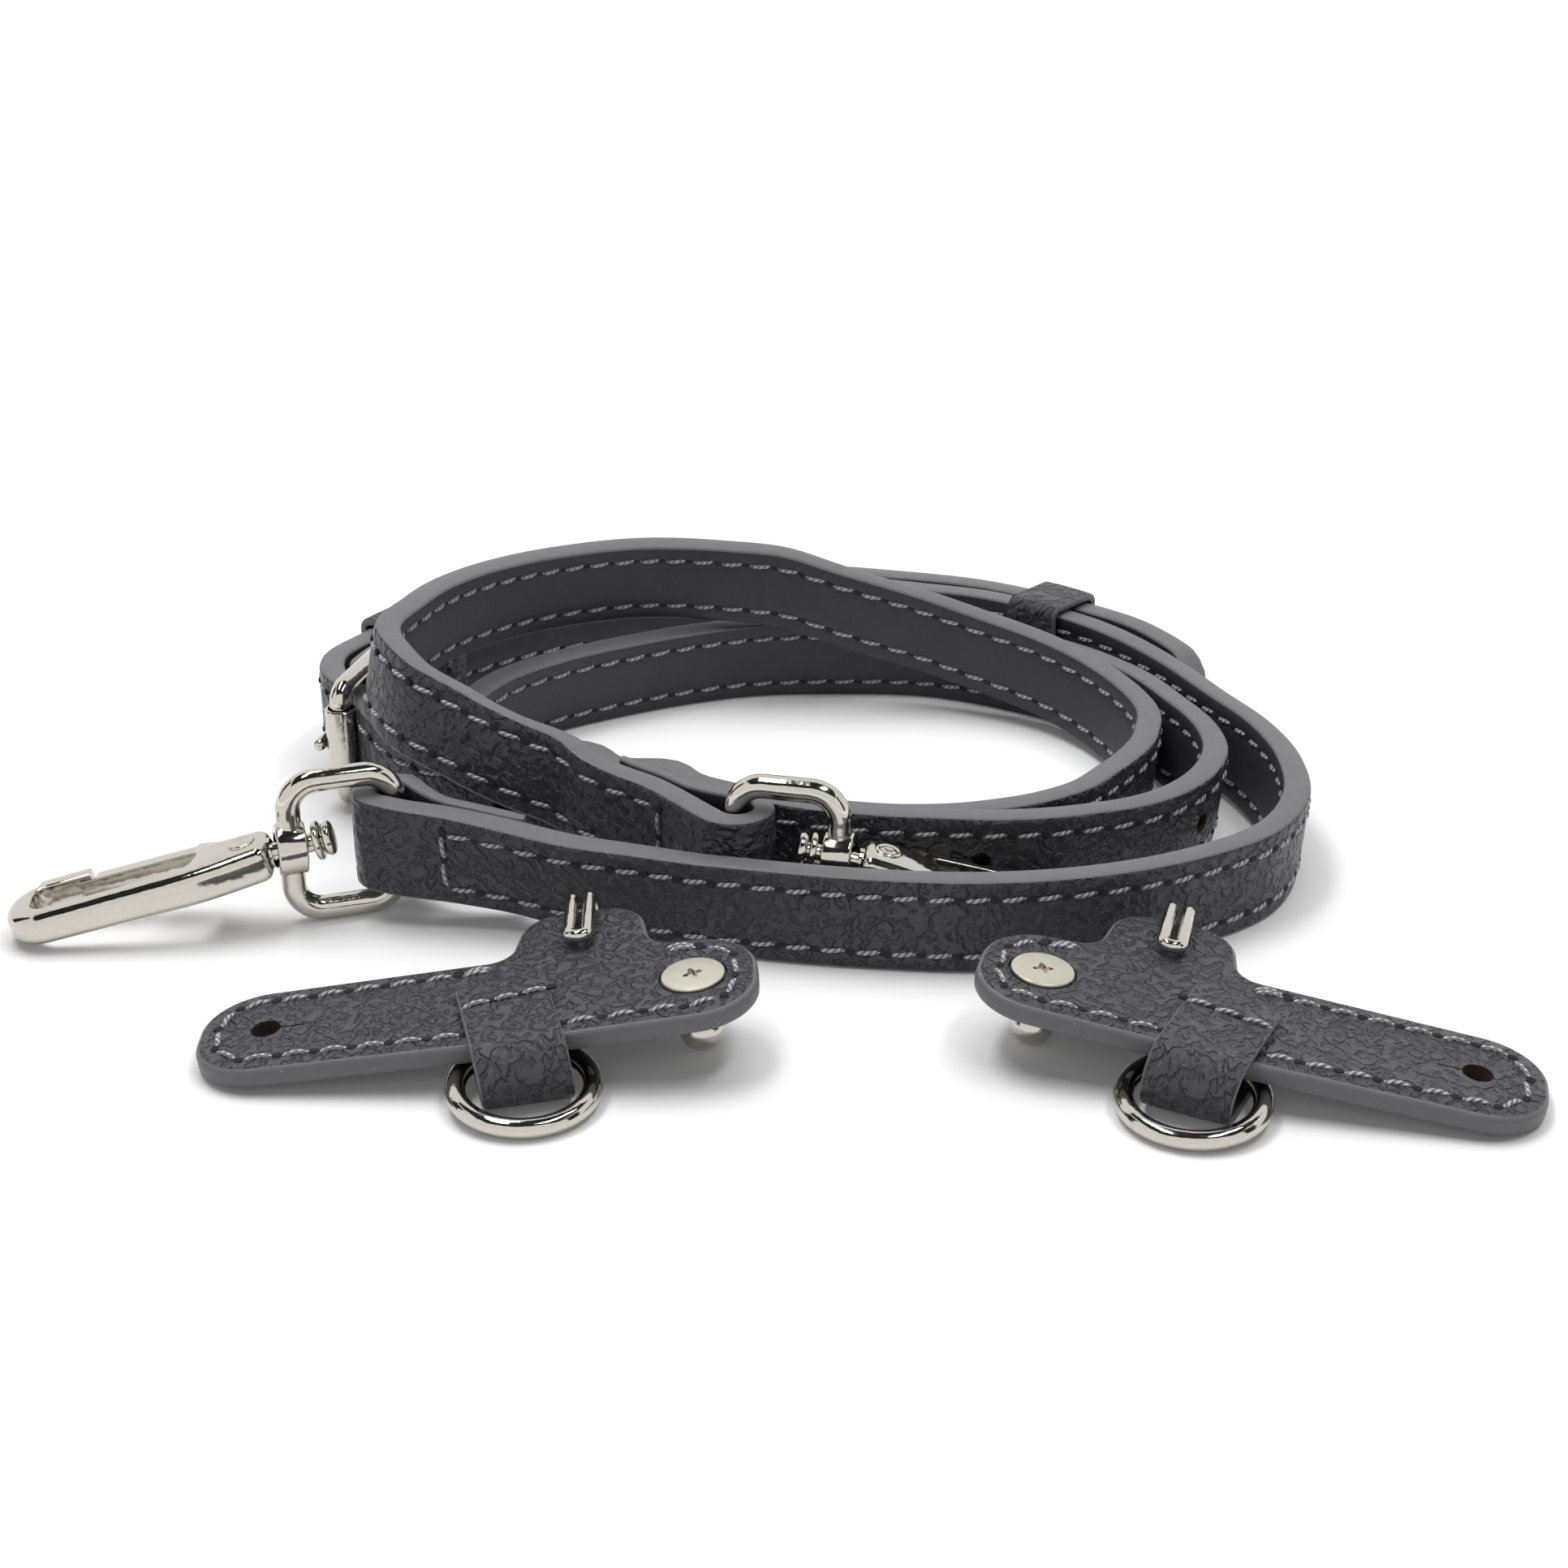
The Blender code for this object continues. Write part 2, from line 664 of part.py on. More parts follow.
def upright_frame_points(length, height, corner, wire):
    """Closed rounded rectangle in the XZ plane from the bar at X = 0."""
    low = wire / 2
    high = height - wire / 2
    corners = [(0.0, low, corner), (length, low, corner), (length, high, corner), (0.0, high, corner)]
    return [(point.x, 0.0, point.y) for point in filleted(corners)]


def build_buckle(pivot, along, out):
    """Frame, roller and tongue. The frame's X runs from the pivot bar to the roller bar."""
    matrix = frame_of(pivot, 0.0, along)
    points = upright_frame_points(BUCKLE_LENGTH, BUCKLE_HEIGHT, BUCKLE_CORNER, BUCKLE_WIRE)
    frame = add_object("buckle_frame", wire_mesh("buckle_frame", points, BUCKLE_WIRE, True),
                       nickel("Buckle frame nickel"))
    attach(frame, matrix)

    outer = ROLLER_DIAMETER / 2
    bore = outer - ROLLER_WALL
    half = BUCKLE_HEIGHT / 2 - BUCKLE_WIRE / 2 - BUCKLE_CORNER - SEAT_GAP / 2
    profile = [(outer, half), (outer, -half), (bore, -half), (bore, half), (outer, half)]
    roller = turned_object("buckle_roller", profile, nickel("Buckle roller nickel"))
    attach(roller, matrix @ Matrix.Translation((BUCKLE_LENGTH, 0.0, BUCKLE_HEIGHT / 2)))

    build_tongue(matrix, -1 if left_of(along).dot(out) < 0 else 1)
    return matrix


def tongue_points(side):
    """Route of the tongue from its eye to the outer side of the roller."""
    rest = side * (ROLLER_DIAMETER / 2 + SEAT_GAP + TONGUE_DIAMETER / 2)
    start = (TONGUE_EYE_DIAMETER - TONGUE_DIAMETER) / 2
    tip = BUCKLE_LENGTH + TONGUE_TIP
    return [(start, 0.0, 0.0), (BUCKLE_LENGTH * 0.4, rest * 0.35, 0.0),
            (BUCKLE_LENGTH * 0.75, rest * 0.92, 0.0), (BUCKLE_LENGTH, rest, 0.0), (tip, rest * 0.95, 0.0)]


def build_tongue(matrix, side):
    arm = wire_mesh("buckle_tongue", tongue_points(side), TONGUE_DIAMETER)
    tongue = add_object("buckle_tongue", arm, nickel("Buckle tongue nickel"))
    centre = matrix @ Matrix.Translation((0.0, 0.0, BUCKLE_HEIGHT / 2))
    attach(tongue, centre)
    eye = add_cutter("tongue_eye", cylinder_mesh("tongue_eye", TONGUE_EYE_DIAMETER / 2, TONGUE_EYE_HEIGHT))
    attach(eye, centre)
    bore_radius = BUCKLE_WIRE / 2 + SEAT_GAP
    bore = add_cutter("tongue_bore", cylinder_mesh("tongue_bore", bore_radius, TONGUE_EYE_HEIGHT * 2))
    attach(bore, centre)
    cut(tongue, eye, "UNION")
    cut(tongue, bore)


def open_straps_for_tongue(short_strap, long_strap, matrix, side):
    """Slot in the folded end and hole in the long strap, each with play round the tongue."""
    centre = matrix @ Matrix.Translation((0.0, 0.0, BUCKLE_HEIGHT / 2))
    reach = BUCKLE_WIRE / 2 + SEAT_GAP + STRAP_THICKNESS + CUT_OVERRUN
    height = TONGUE_EYE_HEIGHT + 2 * TONGUE_PLAY
    back = TONGUE_EYE_DIAMETER / 2 + TONGUE_PLAY
    size = (reach + back, 2 * back, height)
    slot = add_cutter("tongue_slot", box_mesh("tongue_slot", size, ((reach - back) / 2, 0.0, 0.0)))
    attach(slot, centre)
    cut(short_strap, slot)
    opening = wire_mesh("tongue_hole", tongue_points(side), TONGUE_DIAMETER + 2 * TONGUE_PLAY)
    hole = add_cutter("tongue_hole", opening)
    attach(hole, centre)
    cut(long_strap, hole)


def build_keeper(name, station, outer_side, inner_side, material):
    """Leather loop round the strap layers, which lie from outer_side to inner_side."""
    place, travel, lift, lean = station
    low = outer_side - KEEPER_PLAY
    high = inner_side + KEEPER_PLAY
    bottom = -STRAP_WIDTH / 2 - SEAT_GAP
    top = -bottom
    wall = KEEPER_THICKNESS
    outer = [(low - wall, bottom - wall, KEEPER_CORNER), (high + wall, bottom - wall, KEEPER_CORNER),
             (high + wall, top + wall, KEEPER_CORNER), (low - wall, top + wall, KEEPER_CORNER)]
    inner = [(low, bottom, 0), (high, bottom, 0), (high, top, 0), (low, top, 0)]
    mesh = plate_mesh(name, [filleted(outer), filleted(inner)], KEEPER_LENGTH)
    keeper = add_object(name, mesh, material)
    stand = Matrix(((0.0, 0.0, 1.0), (1.0, 0.0, 0.0), (0.0, 1.0, 0.0))).to_4x4()
    attach(keeper, frame_of(place, middle_height(lift, lean), travel) @ stand)
    add_bevel(keeper, SEAT_GAP)
    return keeper


def build_ring(name, matrix):
    """Upright wire ring with the swivel collar on its front bar; X runs from the strap."""
    points = upright_frame_points(RING_REACH, RING_HEIGHT, RING_CORNER, RING_WIRE)
    ring = add_object(name, wire_mesh(name, points, RING_WIRE, True), nickel(name + " nickel"))
    attach(ring, matrix)
    across_x = Matrix.Rotation(math.pi / 2, 4, "Y")
    centre = matrix @ Matrix.Translation((RING_REACH, 0.0, RING_HEIGHT / 2)) @ across_x
    collar_name = name + "_collar"
    collar = add_cutter(collar_name, cylinder_mesh(collar_name, COLLAR_DIAMETER / 2, COLLAR_LENGTH))
    attach(collar, centre)
    bore_name = name + "_bore"
    bore = add_cutter(bore_name, cylinder_mesh(bore_name, COLLAR_BORE / 2, 2 * COLLAR_LENGTH))
    attach(bore, centre)
    cut(ring, collar, "UNION")
    cut(ring, bore)
    return ring


def body_outline():
    """Plan of the hook body: block, near wall, round tip and nose; the gate side is +Y."""
    half = BODY_WIDTH / 2
    block = BLOCK_WIDTH / 2
    wall = -half + WALL_THICKNESS
    nose = BODY_LENGTH - NOSE_LENGTH
    ledge = half - NOSE_LEDGE
    throat = BODY_LENGTH - TIP_THICKNESS
    return filleted([
        (0.0, -block, SEAT_GAP), (BLOCK_LENGTH, -half, BODY_LENGTH), (BODY_LENGTH, -half, half * 0.97),
        (BODY_LENGTH, half, half * 0.97), (nose, half, 0), (nose, ledge, 0),
        (throat, ledge, NOSE_LEDGE), (throat, wall, WALL_THICKNESS),
        (BLOCK_LENGTH + block / 3, wall, 0), (BLOCK_LENGTH, 0.0, 0), (BLOCK_LENGTH, block, SEAT_GAP),
        (0.0, block, SEAT_GAP)])


def gate_outline():
    """Plan of the gate lever from its eye to the tip under the nose, from the pin."""
    half = BODY_WIDTH / 2
    eye = GATE_EYE / 2
    inner = half - GATE_THICKNESS
    nose = BODY_LENGTH - NOSE_LENGTH - GATE_PIN_SETBACK
    tip_side = half - NOSE_LEDGE - SEAT_GAP
    return filleted([
        (-eye, -eye, eye * 0.97), (eye * 1.2, -eye, eye * 0.6), (BLOCK_LENGTH - GATE_PIN_SETBACK, inner, eye),
        (nose + NOTCH_LENGTH - SEAT_GAP, inner, SEAT_GAP), (nose + NOTCH_LENGTH - SEAT_GAP, tip_side, 0),
        (nose - SEAT_GAP, tip_side, 0), (nose - SEAT_GAP, half, 0),
        (BLOCK_LENGTH - GATE_PIN_SETBACK + SEAT_GAP, half, eye), (-eye, eye * 1.2, eye * 0.97)])


def tapered(mesh):
    """Draw the height of the body in evenly from its block to its tip."""
    for vertex in mesh.vertices:
        share = max(vertex.co.x, 0.0) / BODY_LENGTH
        vertex.co.z *= 1 + (TIP_HEIGHT / BODY_HEIGHT - 1) * share
    return mesh


def build_hook(name, ring_matrix, heading, swivel):
    """Washer, body with its post, gate and gate pin on the tilted swivel axis."""
    front = COLLAR_LENGTH / 2 + SHOULDER_PLAY
    reach = front + BODY_LENGTH
    slope = math.asin((RING_HEIGHT - TIP_HEIGHT) / 2 / reach)
    centre = ring_matrix @ Vector((RING_REACH, 0.0, RING_HEIGHT / 2))
    turn = (Matrix.Rotation(math.radians(heading), 4, "Z") @ Matrix.Rotation(slope, 4, "Y")
            @ Matrix.Rotation(math.radians(swivel), 4, "X"))
    axis = add_empty(name + "_swivel", Matrix.Translation(centre) @ turn)

    body_mesh = tapered(plate_mesh(name + "_body", [body_outline()], BODY_HEIGHT))
    body = add_object(name + "_body", body_mesh, nickel(name + " body nickel"))
    attach(body, Matrix.Translation((front, 0.0, 0.0)), axis)
    add_bevel(body, BODY_BEVEL, 1, 40.0)
    add_post(name, body, front)
    add_gate(name, body, axis, front)

    back = -COLLAR_LENGTH / 2 - WASHER_PLAY - WASHER_THICKNESS / 2
    outer = WASHER_DIAMETER / 2
    bore = POST_DIAMETER / 2 + SEAT_GAP
    half = WASHER_THICKNESS / 2
    profile = [(outer, half), (outer, -half), (bore, -half), (bore, half), (outer, half)]
    washer = turned_object(name + "_washer", profile, nickel(name + " washer nickel"))
    attach(washer, Matrix.Translation((back, 0.0, 0.0)) @ Matrix.Rotation(math.pi / 2, 4, "Y"), axis)
    return axis


def add_post(name, body, front):
    """Post through the collar with its riveted cap, and the neck before the block."""
    across_x = Matrix.Rotation(-math.pi / 2, 4, "Y")
    cap_start = COLLAR_LENGTH / 2 + WASHER_PLAY + WASHER_THICKNESS + SEAT_GAP
    end = cap_start + CAP_LENGTH
    neck_start = front - NECK_LENGTH
    post = POST_DIAMETER / 2
    cap = CAP_DIAMETER / 2
    neck = NECK_DIAMETER / 2
    root = front + CUT_OVERRUN
    # Heights run from the block back along the axis, so they fall along the profile.
    profile = [(0.0, end), (cap * 0.6, end), (cap, end - CAP_LENGTH / 2), (cap, cap_start),
               (post, cap_start), (post, -neck_start), (neck, -neck_start), (neck, -root), (0.0, -root)]
    bm = bmesh.new()
    points = [bm.verts.new((radius, 0.0, height)) for radius, height in profile]
    for first, second in zip(points, points[1:]):
        bm.edges.new((first, second))
    bmesh.ops.spin(bm, geom=bm.verts[:] + bm.edges[:], cent=(0.0, 0.0, 0.0), axis=(0.0, 0.0, 1.0),
                   angle=math.tau, steps=ROUND_SIDES)
    bmesh.ops.remove_doubles(bm, verts=bm.verts, dist=MERGE)
    bmesh.ops.recalc_face_normals(bm, faces=bm.faces)
    post_object = add_cutter(name + "_post", mesh_from_bmesh(name + "_post", bm))
    attach(post_object, across_x, body.parent)
    cut(body, post_object, "UNION")


def add_gate(name, body, axis, front):
    """Gate lever in the slot of the block, on a riveted pin."""
    pin_place = Matrix.Translation((front + GATE_PIN_SETBACK, 0.0, 0.0))
    gate_mesh = plate_mesh(name + "_gate", [gate_outline()], GATE_HEIGHT)
    gate = add_object(name + "_gate", gate_mesh, nickel(name + " gate nickel"))
    attach(gate, pin_place, axis)
    add_bevel(gate, SEAT_GAP, 1, 50.0)
    eye_bore = add_cutter(name + "_eye", cylinder_mesh(name + "_eye", PIN_DIAMETER / 2 + SEAT_GAP,
                                                       2 * GATE_HEIGHT))
    attach(eye_bore, pin_place, axis)
    cut(gate, eye_bore)

    height = GATE_HEIGHT + 2 * SEAT_GAP
    eye = GATE_EYE / 2 + SEAT_GAP
    reach = BLOCK_LENGTH - GATE_PIN_SETBACK + CUT_OVERRUN
    size = (reach + eye, BODY_WIDTH, height)
    centre = ((reach - eye) / 2, BODY_WIDTH / 2 - eye, 0.0)
    slot = add_cutter(name + "_slot", box_mesh(name + "_slot", size, centre))
    attach(slot, pin_place, axis)
    cut(body, slot)

    bore = add_cutter(name + "_pin_bore", cylinder_mesh(name + "_pin_bore", PIN_DIAMETER / 2 + SEAT_GAP,
                                                        2 * BODY_HEIGHT))
    attach(bore, pin_place, axis)
    cut(body, bore)
    share = GATE_PIN_SETBACK / BODY_LENGTH
    seat = BODY_HEIGHT / 2 * (1 + (TIP_HEIGHT / BODY_HEIGHT - 1) * share) + SEAT_GAP
    head = RIVET_DIAMETER / 2
    shank = PIN_DIAMETER / 2
    top = seat + RIVET_HEAD
    crown = head * 0.75
    profile = [(0.0, top), (crown, top), (head, seat + RIVET_HEAD / 2), (head, seat), (shank, seat),
               (shank, -seat), (head, -seat), (head, -seat - RIVET_HEAD / 2), (crown, -top), (0.0, -top)]
    pin = turned_object(name + "_gate_pin", profile, nickel(name + " gate pin nickel"))
    attach(pin, pin_place, axis)


def tab_outline(side):
    """Plan of a tab: two unlike round ends and the lobe, from the button hole."""
    end = TAB_STUD_DISTANCE + TAB_STUD_MARGIN
    half = TAB_WIDTH / 2
    end_half = TAB_END_WIDTH / 2
    left = LOBE_DISTANCE - LOBE_WIDTH / 2
    right = LOBE_DISTANCE + LOBE_WIDTH / 2
    flare = LOBE_FILLET / 2
    corners = [
        (-TAB_END_MARGIN, -end_half, TAB_END_RADIUS), (LOOP_DISTANCE, -half, TAB_STUD_DISTANCE),
        (end, -end_half, TAB_END_RADIUS), (end, end_half, TAB_END_RADIUS),
        (right + flare, half, LOBE_FILLET), (right, LOBE_REACH, LOBE_RADIUS),
        (left, LOBE_REACH, LOBE_RADIUS), (left - flare, half, LOBE_FILLET),
        (-TAB_END_MARGIN, end_half, TAB_END_RADIUS)]
    return filleted([(x, y * side, radius) for x, y, radius in corners], steps=6)


def loop_depths():
    """Middle heights of the loop's upper layer, lower layer and stitched-down end."""
    upper = TAB_THICKNESS + SEAT_GAP + LOOP_THICKNESS / 2
    lower = ring_bar_height() - O_RING_WIRE / 2 - O_RING_PLAY - LOOP_THICKNESS / 2
    stitched = -(SEAT_GAP + LOOP_THICKNESS / 2)
    return upper, lower, stitched


def ring_bar_height():
    """Height of the round ring's wire where it hangs in the loop."""
    return -(SEAT_GAP + O_RING_DROP + O_RING_WIRE / 2)


def loop_frame(side, base):
    """Place of the loop on the tab, and the turn about its Y that is level in the world."""
    place = Matrix.Translation((LOOP_DISTANCE, 0.0, 0.0)) @ Matrix.Rotation(
        math.radians(LOOP_SKEW) * side, 4, "Z")
    world = (base.matrix_local @ place).to_3x3()
    return place, math.atan2(world[2][0], world[2][2])


def tab_matrix(tab):
    """Place of a tab at rest: its hole end, stud ball or loop touches the floor."""
    slope = math.asin(STUD_DROP / (TAB_STUD_DISTANCE + TAB_END_MARGIN))
    turn = (Matrix.Rotation(math.radians(tab["heading"]), 4, "Z") @ Matrix.Rotation(-slope, 4, "Y")
            @ Matrix.Rotation(math.radians(tab["roll"]) * tab["side"], 4, "X"))
    lower = loop_depths()[1] - LOOP_THICKNESS / 2
    feet = [Vector((-TAB_END_MARGIN, 0.0, 0.0)), Vector((0.0, -TAB_END_WIDTH / 2 * tab["side"], 0.0)),
            Vector((TAB_STUD_DISTANCE, 0.0, -STUD_DROP)),
            Vector((LOOP_DISTANCE, -LOOP_FRONT * 0.75 * tab["side"], lower))]
    lowest = min((turn @ foot).z for foot in feet)
    return Matrix.Translation((tab["x"], tab["y"], -lowest)) @ turn


def build_tab(name, tab):
    side = tab["side"]
    base = add_empty(name + "_base", tab_matrix(tab))
    add_tab_leather(name, side, base)
    add_ring_loop(name, side, base)
    add_round_ring(name, side, base)
    add_screw(name, base)
    add_stud(name, base)
    add_wire_hook(name, side, base)
    return base


def add_tab_leather(name, side, base):
    mesh = plate_mesh(name + "_leather", [tab_outline(side)], TAB_THICKNESS)
    item = add_object(name + "_leather", mesh, leather(name + " leather"))
    attach(item, Matrix.Translation((0.0, 0.0, TAB_THICKNESS / 2)), base)
    add_bevel(item, TAB_BEVEL, 1, 50.0)
    length = TAB_THICKNESS + 2 * CUT_OVERRUN
    middle = TAB_THICKNESS / 2
    slit = box_mesh("slit", (BUTTON_SLIT_LENGTH, BUTTON_SLIT_WIDTH, length),
                    (BUTTON_SLIT_LENGTH / 2, 0.0, 0.0))
    slit_cutter = add_cutter(name + "_slit", slit)
    attach(slit_cutter, Matrix.Translation((0.0, 0.0, middle)), base)
    hole = add_cutter(name + "_hole", cylinder_mesh(name + "_hole", BUTTON_HOLE / 2, length))
    attach(hole, Matrix.Translation((0.0, 0.0, middle)), base)
    bore = add_cutter(name + "_stud_bore", cylinder_mesh(name + "_stud_bore",
                                                         SCREW_SHANK / 2 + SEAT_GAP, length))
    attach(bore, Matrix.Translation((TAB_STUD_DISTANCE, 0.0, middle)), base)
    sink_depth = SCREW_SINK + SEAT_GAP
    sink = add_cutter(name + "_sink", cylinder_mesh(name + "_sink", SCREW_HEAD / 2 + SEAT_GAP,
                                                    2 * sink_depth))
    attach(sink, Matrix.Translation((TAB_STUD_DISTANCE, 0.0, TAB_THICKNESS)), base)
    for cutter in (hole, slit_cutter, bore, sink):
        cut(item, cutter)


def add_ring_loop(name, side, base):
    """Leather strip sewn on top, turned over the front edge round the ring and back under."""
    upper, lower, stitched = loop_depths()
    place, level = loop_frame(side, base)
    turn = (upper - lower) * 0.49
    profile = filleted([
        (LOOP_REAR, upper, 0), (-LOOP_FRONT, upper, turn), (-LOOP_FRONT, lower, turn),
        (-LOOP_REAR * 0.6, lower, O_RING_WIRE / 2), (LOOP_REAR, stitched, O_RING_WIRE / 2),
        (LOOP_UNDER_REAR, stitched, 0)], closed=False, steps=6)
    rows = []
    for point in profile:
        share = max((stitched - point.y) / (stitched - lower), 0.0)
        width = Vector((math.cos(level * share), 0.0, -math.sin(level * share)))
        rows.append((Vector((0.0, point.x * side, point.y)), width, LOOP_THICKNESS))
    item = ribbon_object(name + "_ring_loop", rows, leather(name + " loop leather"), LOOP_WIDTH, SEAT_GAP)
    attach(item, place, base)


def add_round_ring(name, side, base):
    """Round ring through the loop, level along its bar, its free side resting on the floor."""
    place, level = loop_frame(side, base)
    forward = LOOP_REAR + O_RING_WIRE / 4
    bar = (place @ Matrix.Translation((0.0, -forward * side, ring_bar_height()))
           @ Matrix.Rotation(level, 4, "Y"))
    middle_diameter = O_RING_DIAMETER - O_RING_WIRE
    world = base.matrix_local @ bar
    front = (world.to_3x3() @ Vector((0.0, -side, 0.0))).normalized()
    fall = math.asin((world.translation.z - O_RING_WIRE / 2) / middle_diameter) + math.asin(front.z)
    pivot = add_empty(name + "_ring_pivot", bar @ Matrix.Rotation(fall * side, 4, "X"), base)
    mesh = torus_mesh(name + "_ring", middle_diameter / 2, O_RING_WIRE / 2)
    ring = add_object(name + "_ring", mesh, nickel(name + " ring nickel"))
    attach(ring, Matrix.Translation((0.0, -middle_diameter / 2 * side, 0.0)), pivot)


def torus_mesh(name, major, minor):
    """Ring turned about Z from a circle."""
    bm = bmesh.new()
    place = Matrix.Translation((major, 0.0, 0.0)) @ Matrix.Rotation(math.pi / 2, 4, "X")
    circle = bmesh.ops.create_circle(bm, segments=8, radius=minor, matrix=place)
    edges = list({edge for vertex in circle["verts"] for edge in vertex.link_edges})
    bmesh.ops.spin(bm, geom=circle["verts"] + edges, cent=(0.0, 0.0, 0.0), axis=(0.0, 0.0, 1.0),
                   angle=math.tau, steps=36)
    bmesh.ops.remove_doubles(bm, verts=bm.verts, dist=MERGE)
    bmesh.ops.recalc_face_normals(bm, faces=bm.faces)
    mesh = mesh_from_bmesh(name, bm)
    shade_round(mesh, 60.0)
    return mesh


def add_screw(name, base):
    seat = TAB_THICKNESS - SCREW_SINK
    top = seat + SCREW_HEAD_THICKNESS
    head = SCREW_HEAD / 2
    shank = SCREW_SHANK / 2
    lip = SCREW_HEAD_THICKNESS / 3
    profile = [(0.0, top), (head - lip, top), (head, top - lip), (head, seat), (shank, seat),
               (shank, -SCREW_REACH), (0.0, -SCREW_REACH)]
    item = turned_object(name + "_screw", profile, nickel(name + " screw nickel"))
    place = Matrix.Translation((TAB_STUD_DISTANCE, 0.0, 0.0))
    attach(item, place, base)
    depth = CROSS_DEPTH + CUT_OVERRUN
    centre = (0.0, 0.0, top - CROSS_DEPTH + depth / 2)
    for index, size in enumerate(((CROSS_LENGTH, CROSS_WIDTH, depth), (CROSS_WIDTH, CROSS_LENGTH, depth))):
        slot_name = name + "_cross_" + str(index)
        slot = add_cutter(slot_name, box_mesh(slot_name, size, centre))
        attach(slot, place @ Matrix.Rotation(math.radians(20.0), 4, "Z"), base)
        cut(item, slot)


def add_stud(name, base):
    """Ball stud under the tab, bored for the screw."""
    flange = STUD_FLANGE / 2
    neck = STUD_NECK / 2
    ball = STUD_BALL / 2
    bore = SCREW_SHANK / 2 + SEAT_GAP
    bore_end = -SCREW_REACH - SEAT_GAP
    centre = -STUD_DROP + ball
    under = -SEAT_GAP - STUD_FLANGE_THICKNESS
    profile = [(0.0, bore_end), (bore, bore_end), (bore, -SEAT_GAP), (flange, -SEAT_GAP), (flange, under),
               (neck, under)]
    start = math.asin(neck / ball)
    steps = 2 * ARC_STEPS
    for step in range(steps + 1):
        angle = start + (math.pi - start) * step / steps
        radius = ball * math.sin(angle) if step < steps else 0.0
        profile.append((radius, centre + ball * math.cos(angle)))
    item = turned_object(name + "_stud", profile, nickel(name + " stud nickel"))
    attach(item, Matrix.Translation((TAB_STUD_DISTANCE, 0.0, 0.0)), base)


def add_wire_hook(name, side, base):
    """Doubled wire that wraps the edge of the lobe, its closed bend lying on top."""
    half = (WIRE_SPREAD - WIRE_DIAMETER) / 2
    wrap = TAB_THICKNESS / 2 + SEAT_GAP + WIRE_DIAMETER / 2
    middle = TAB_THICKNESS / 2
    edge = LOBE_REACH - TAB_THICKNESS / 4
    leg = [(edge - WIRE_LOWER, middle - wrap)]
    for step in range(2 * ARC_STEPS + 1):
        angle = -math.pi / 2 + math.pi * step / (2 * ARC_STEPS)
        leg.append((edge + wrap * math.cos(angle), middle + wrap * math.sin(angle)))
    leg.append((edge - WIRE_UPPER + half, middle + wrap))
    points = [(LOBE_DISTANCE - half, y * side, z) for y, z in leg]
    for step in range(1, 2 * ARC_STEPS):
        angle = math.pi * step / (2 * ARC_STEPS)
        y = edge - WIRE_UPPER + half - half * math.sin(angle)
        points.append((LOBE_DISTANCE - half * math.cos(angle), y * side, middle + wrap))
    points += [(LOBE_DISTANCE + half, y * side, z) for y, z in reversed(leg)]
    mesh = wire_mesh(name + "_wire_hook", points, WIRE_DIAMETER)
    item = add_object(name + "_wire_hook", mesh, nickel(name + " wire nickel"))
    attach(item, Matrix(), base)


def build_straps():
    """Both straps, their folds, the keepers and the buckle; returns the two ring bars."""
    short_stations = short_strap_stations()
    start_rows, bar_a, out_a = folded_tail(short_stations, RING_WIRE / 2)
    end_rows, pivot, along, out = buckle_bars(short_stations)
    rows = start_rows + [ribbon_row(station) for station in short_stations] + end_rows[::-1]
    short_strap = ribbon_object("short_strap", rows, leather("Short strap leather"))

    long_stations = strand(long_strap_rows(pivot, along, out))
    reversed_long = [(place, -travel, lift, -lean) for place, travel, lift, lean in reversed(long_stations)]
    hook_rows, bar_b, out_b = folded_tail(reversed_long, RING_WIRE / 2)
    rows = [ribbon_row(station) for station in long_stations] + hook_rows[::-1]
    long_strap = ribbon_object("long_strap", rows, leather("Long strap leather"))

    matrix = build_buckle(pivot, along, out)
    side = -1 if left_of(along).dot(out) < 0 else 1
    open_straps_for_tongue(short_strap, long_strap, matrix, side)
    punch_holes(long_strap, long_stations, length_to(long_stations, pivot + along * BUCKLE_LENGTH / 2))

    half = STRAP_THICKNESS / 2
    outer = -LAYER_PITCH - half
    backwards = [(place, -travel, lift, -lean) for place, travel, lift, lean in reversed(short_stations)]
    place, travel, lift, lean = station_at(backwards, FIXED_KEEPER_SETBACK)
    tail = half + LAYER_GAP + TAIL_THICKNESS
    build_keeper("fixed_keeper", (place, -travel, lift, -lean), outer, tail,
                 leather("Fixed keeper leather"))
    spot = direction(SLIDING_KEEPER_ANGLE) * outline_radius(SLIDING_KEEPER_ANGLE)
    station = station_at(short_stations, length_to(short_stations, spot))
    build_keeper("sliding_keeper", station, outer - KEEPER_PLAY, half, leather("Sliding keeper leather"))
    return (bar_a, out_a), (bar_b, out_b)


def stand_on_origin():
    """Move everything so that the set stands on the origin, centred in plan."""
    bpy.context.view_layer.update()
    depsgraph = bpy.context.evaluated_depsgraph_get()
    low = Vector((math.inf,) * 3)
    high = -low
    for item in parts.objects:
        if item.type != "MESH":
            continue
        evaluated = item.evaluated_get(depsgraph)
        mesh = evaluated.to_mesh()
        for vertex in mesh.vertices:
            spot = evaluated.matrix_world @ vertex.co
            low = Vector(map(min, low, spot))
            high = Vector(map(max, high, spot))
        evaluated.to_mesh_clear()
    shift = Vector(((low.x + high.x) / 2, (low.y + high.y) / 2, low.z))
    for item in list(parts.objects) + list(cutters.objects):
        if item.parent is None:
            item.matrix_local = Matrix.Translation(-shift) @ item.matrix_local
    bpy.context.view_layer.update()


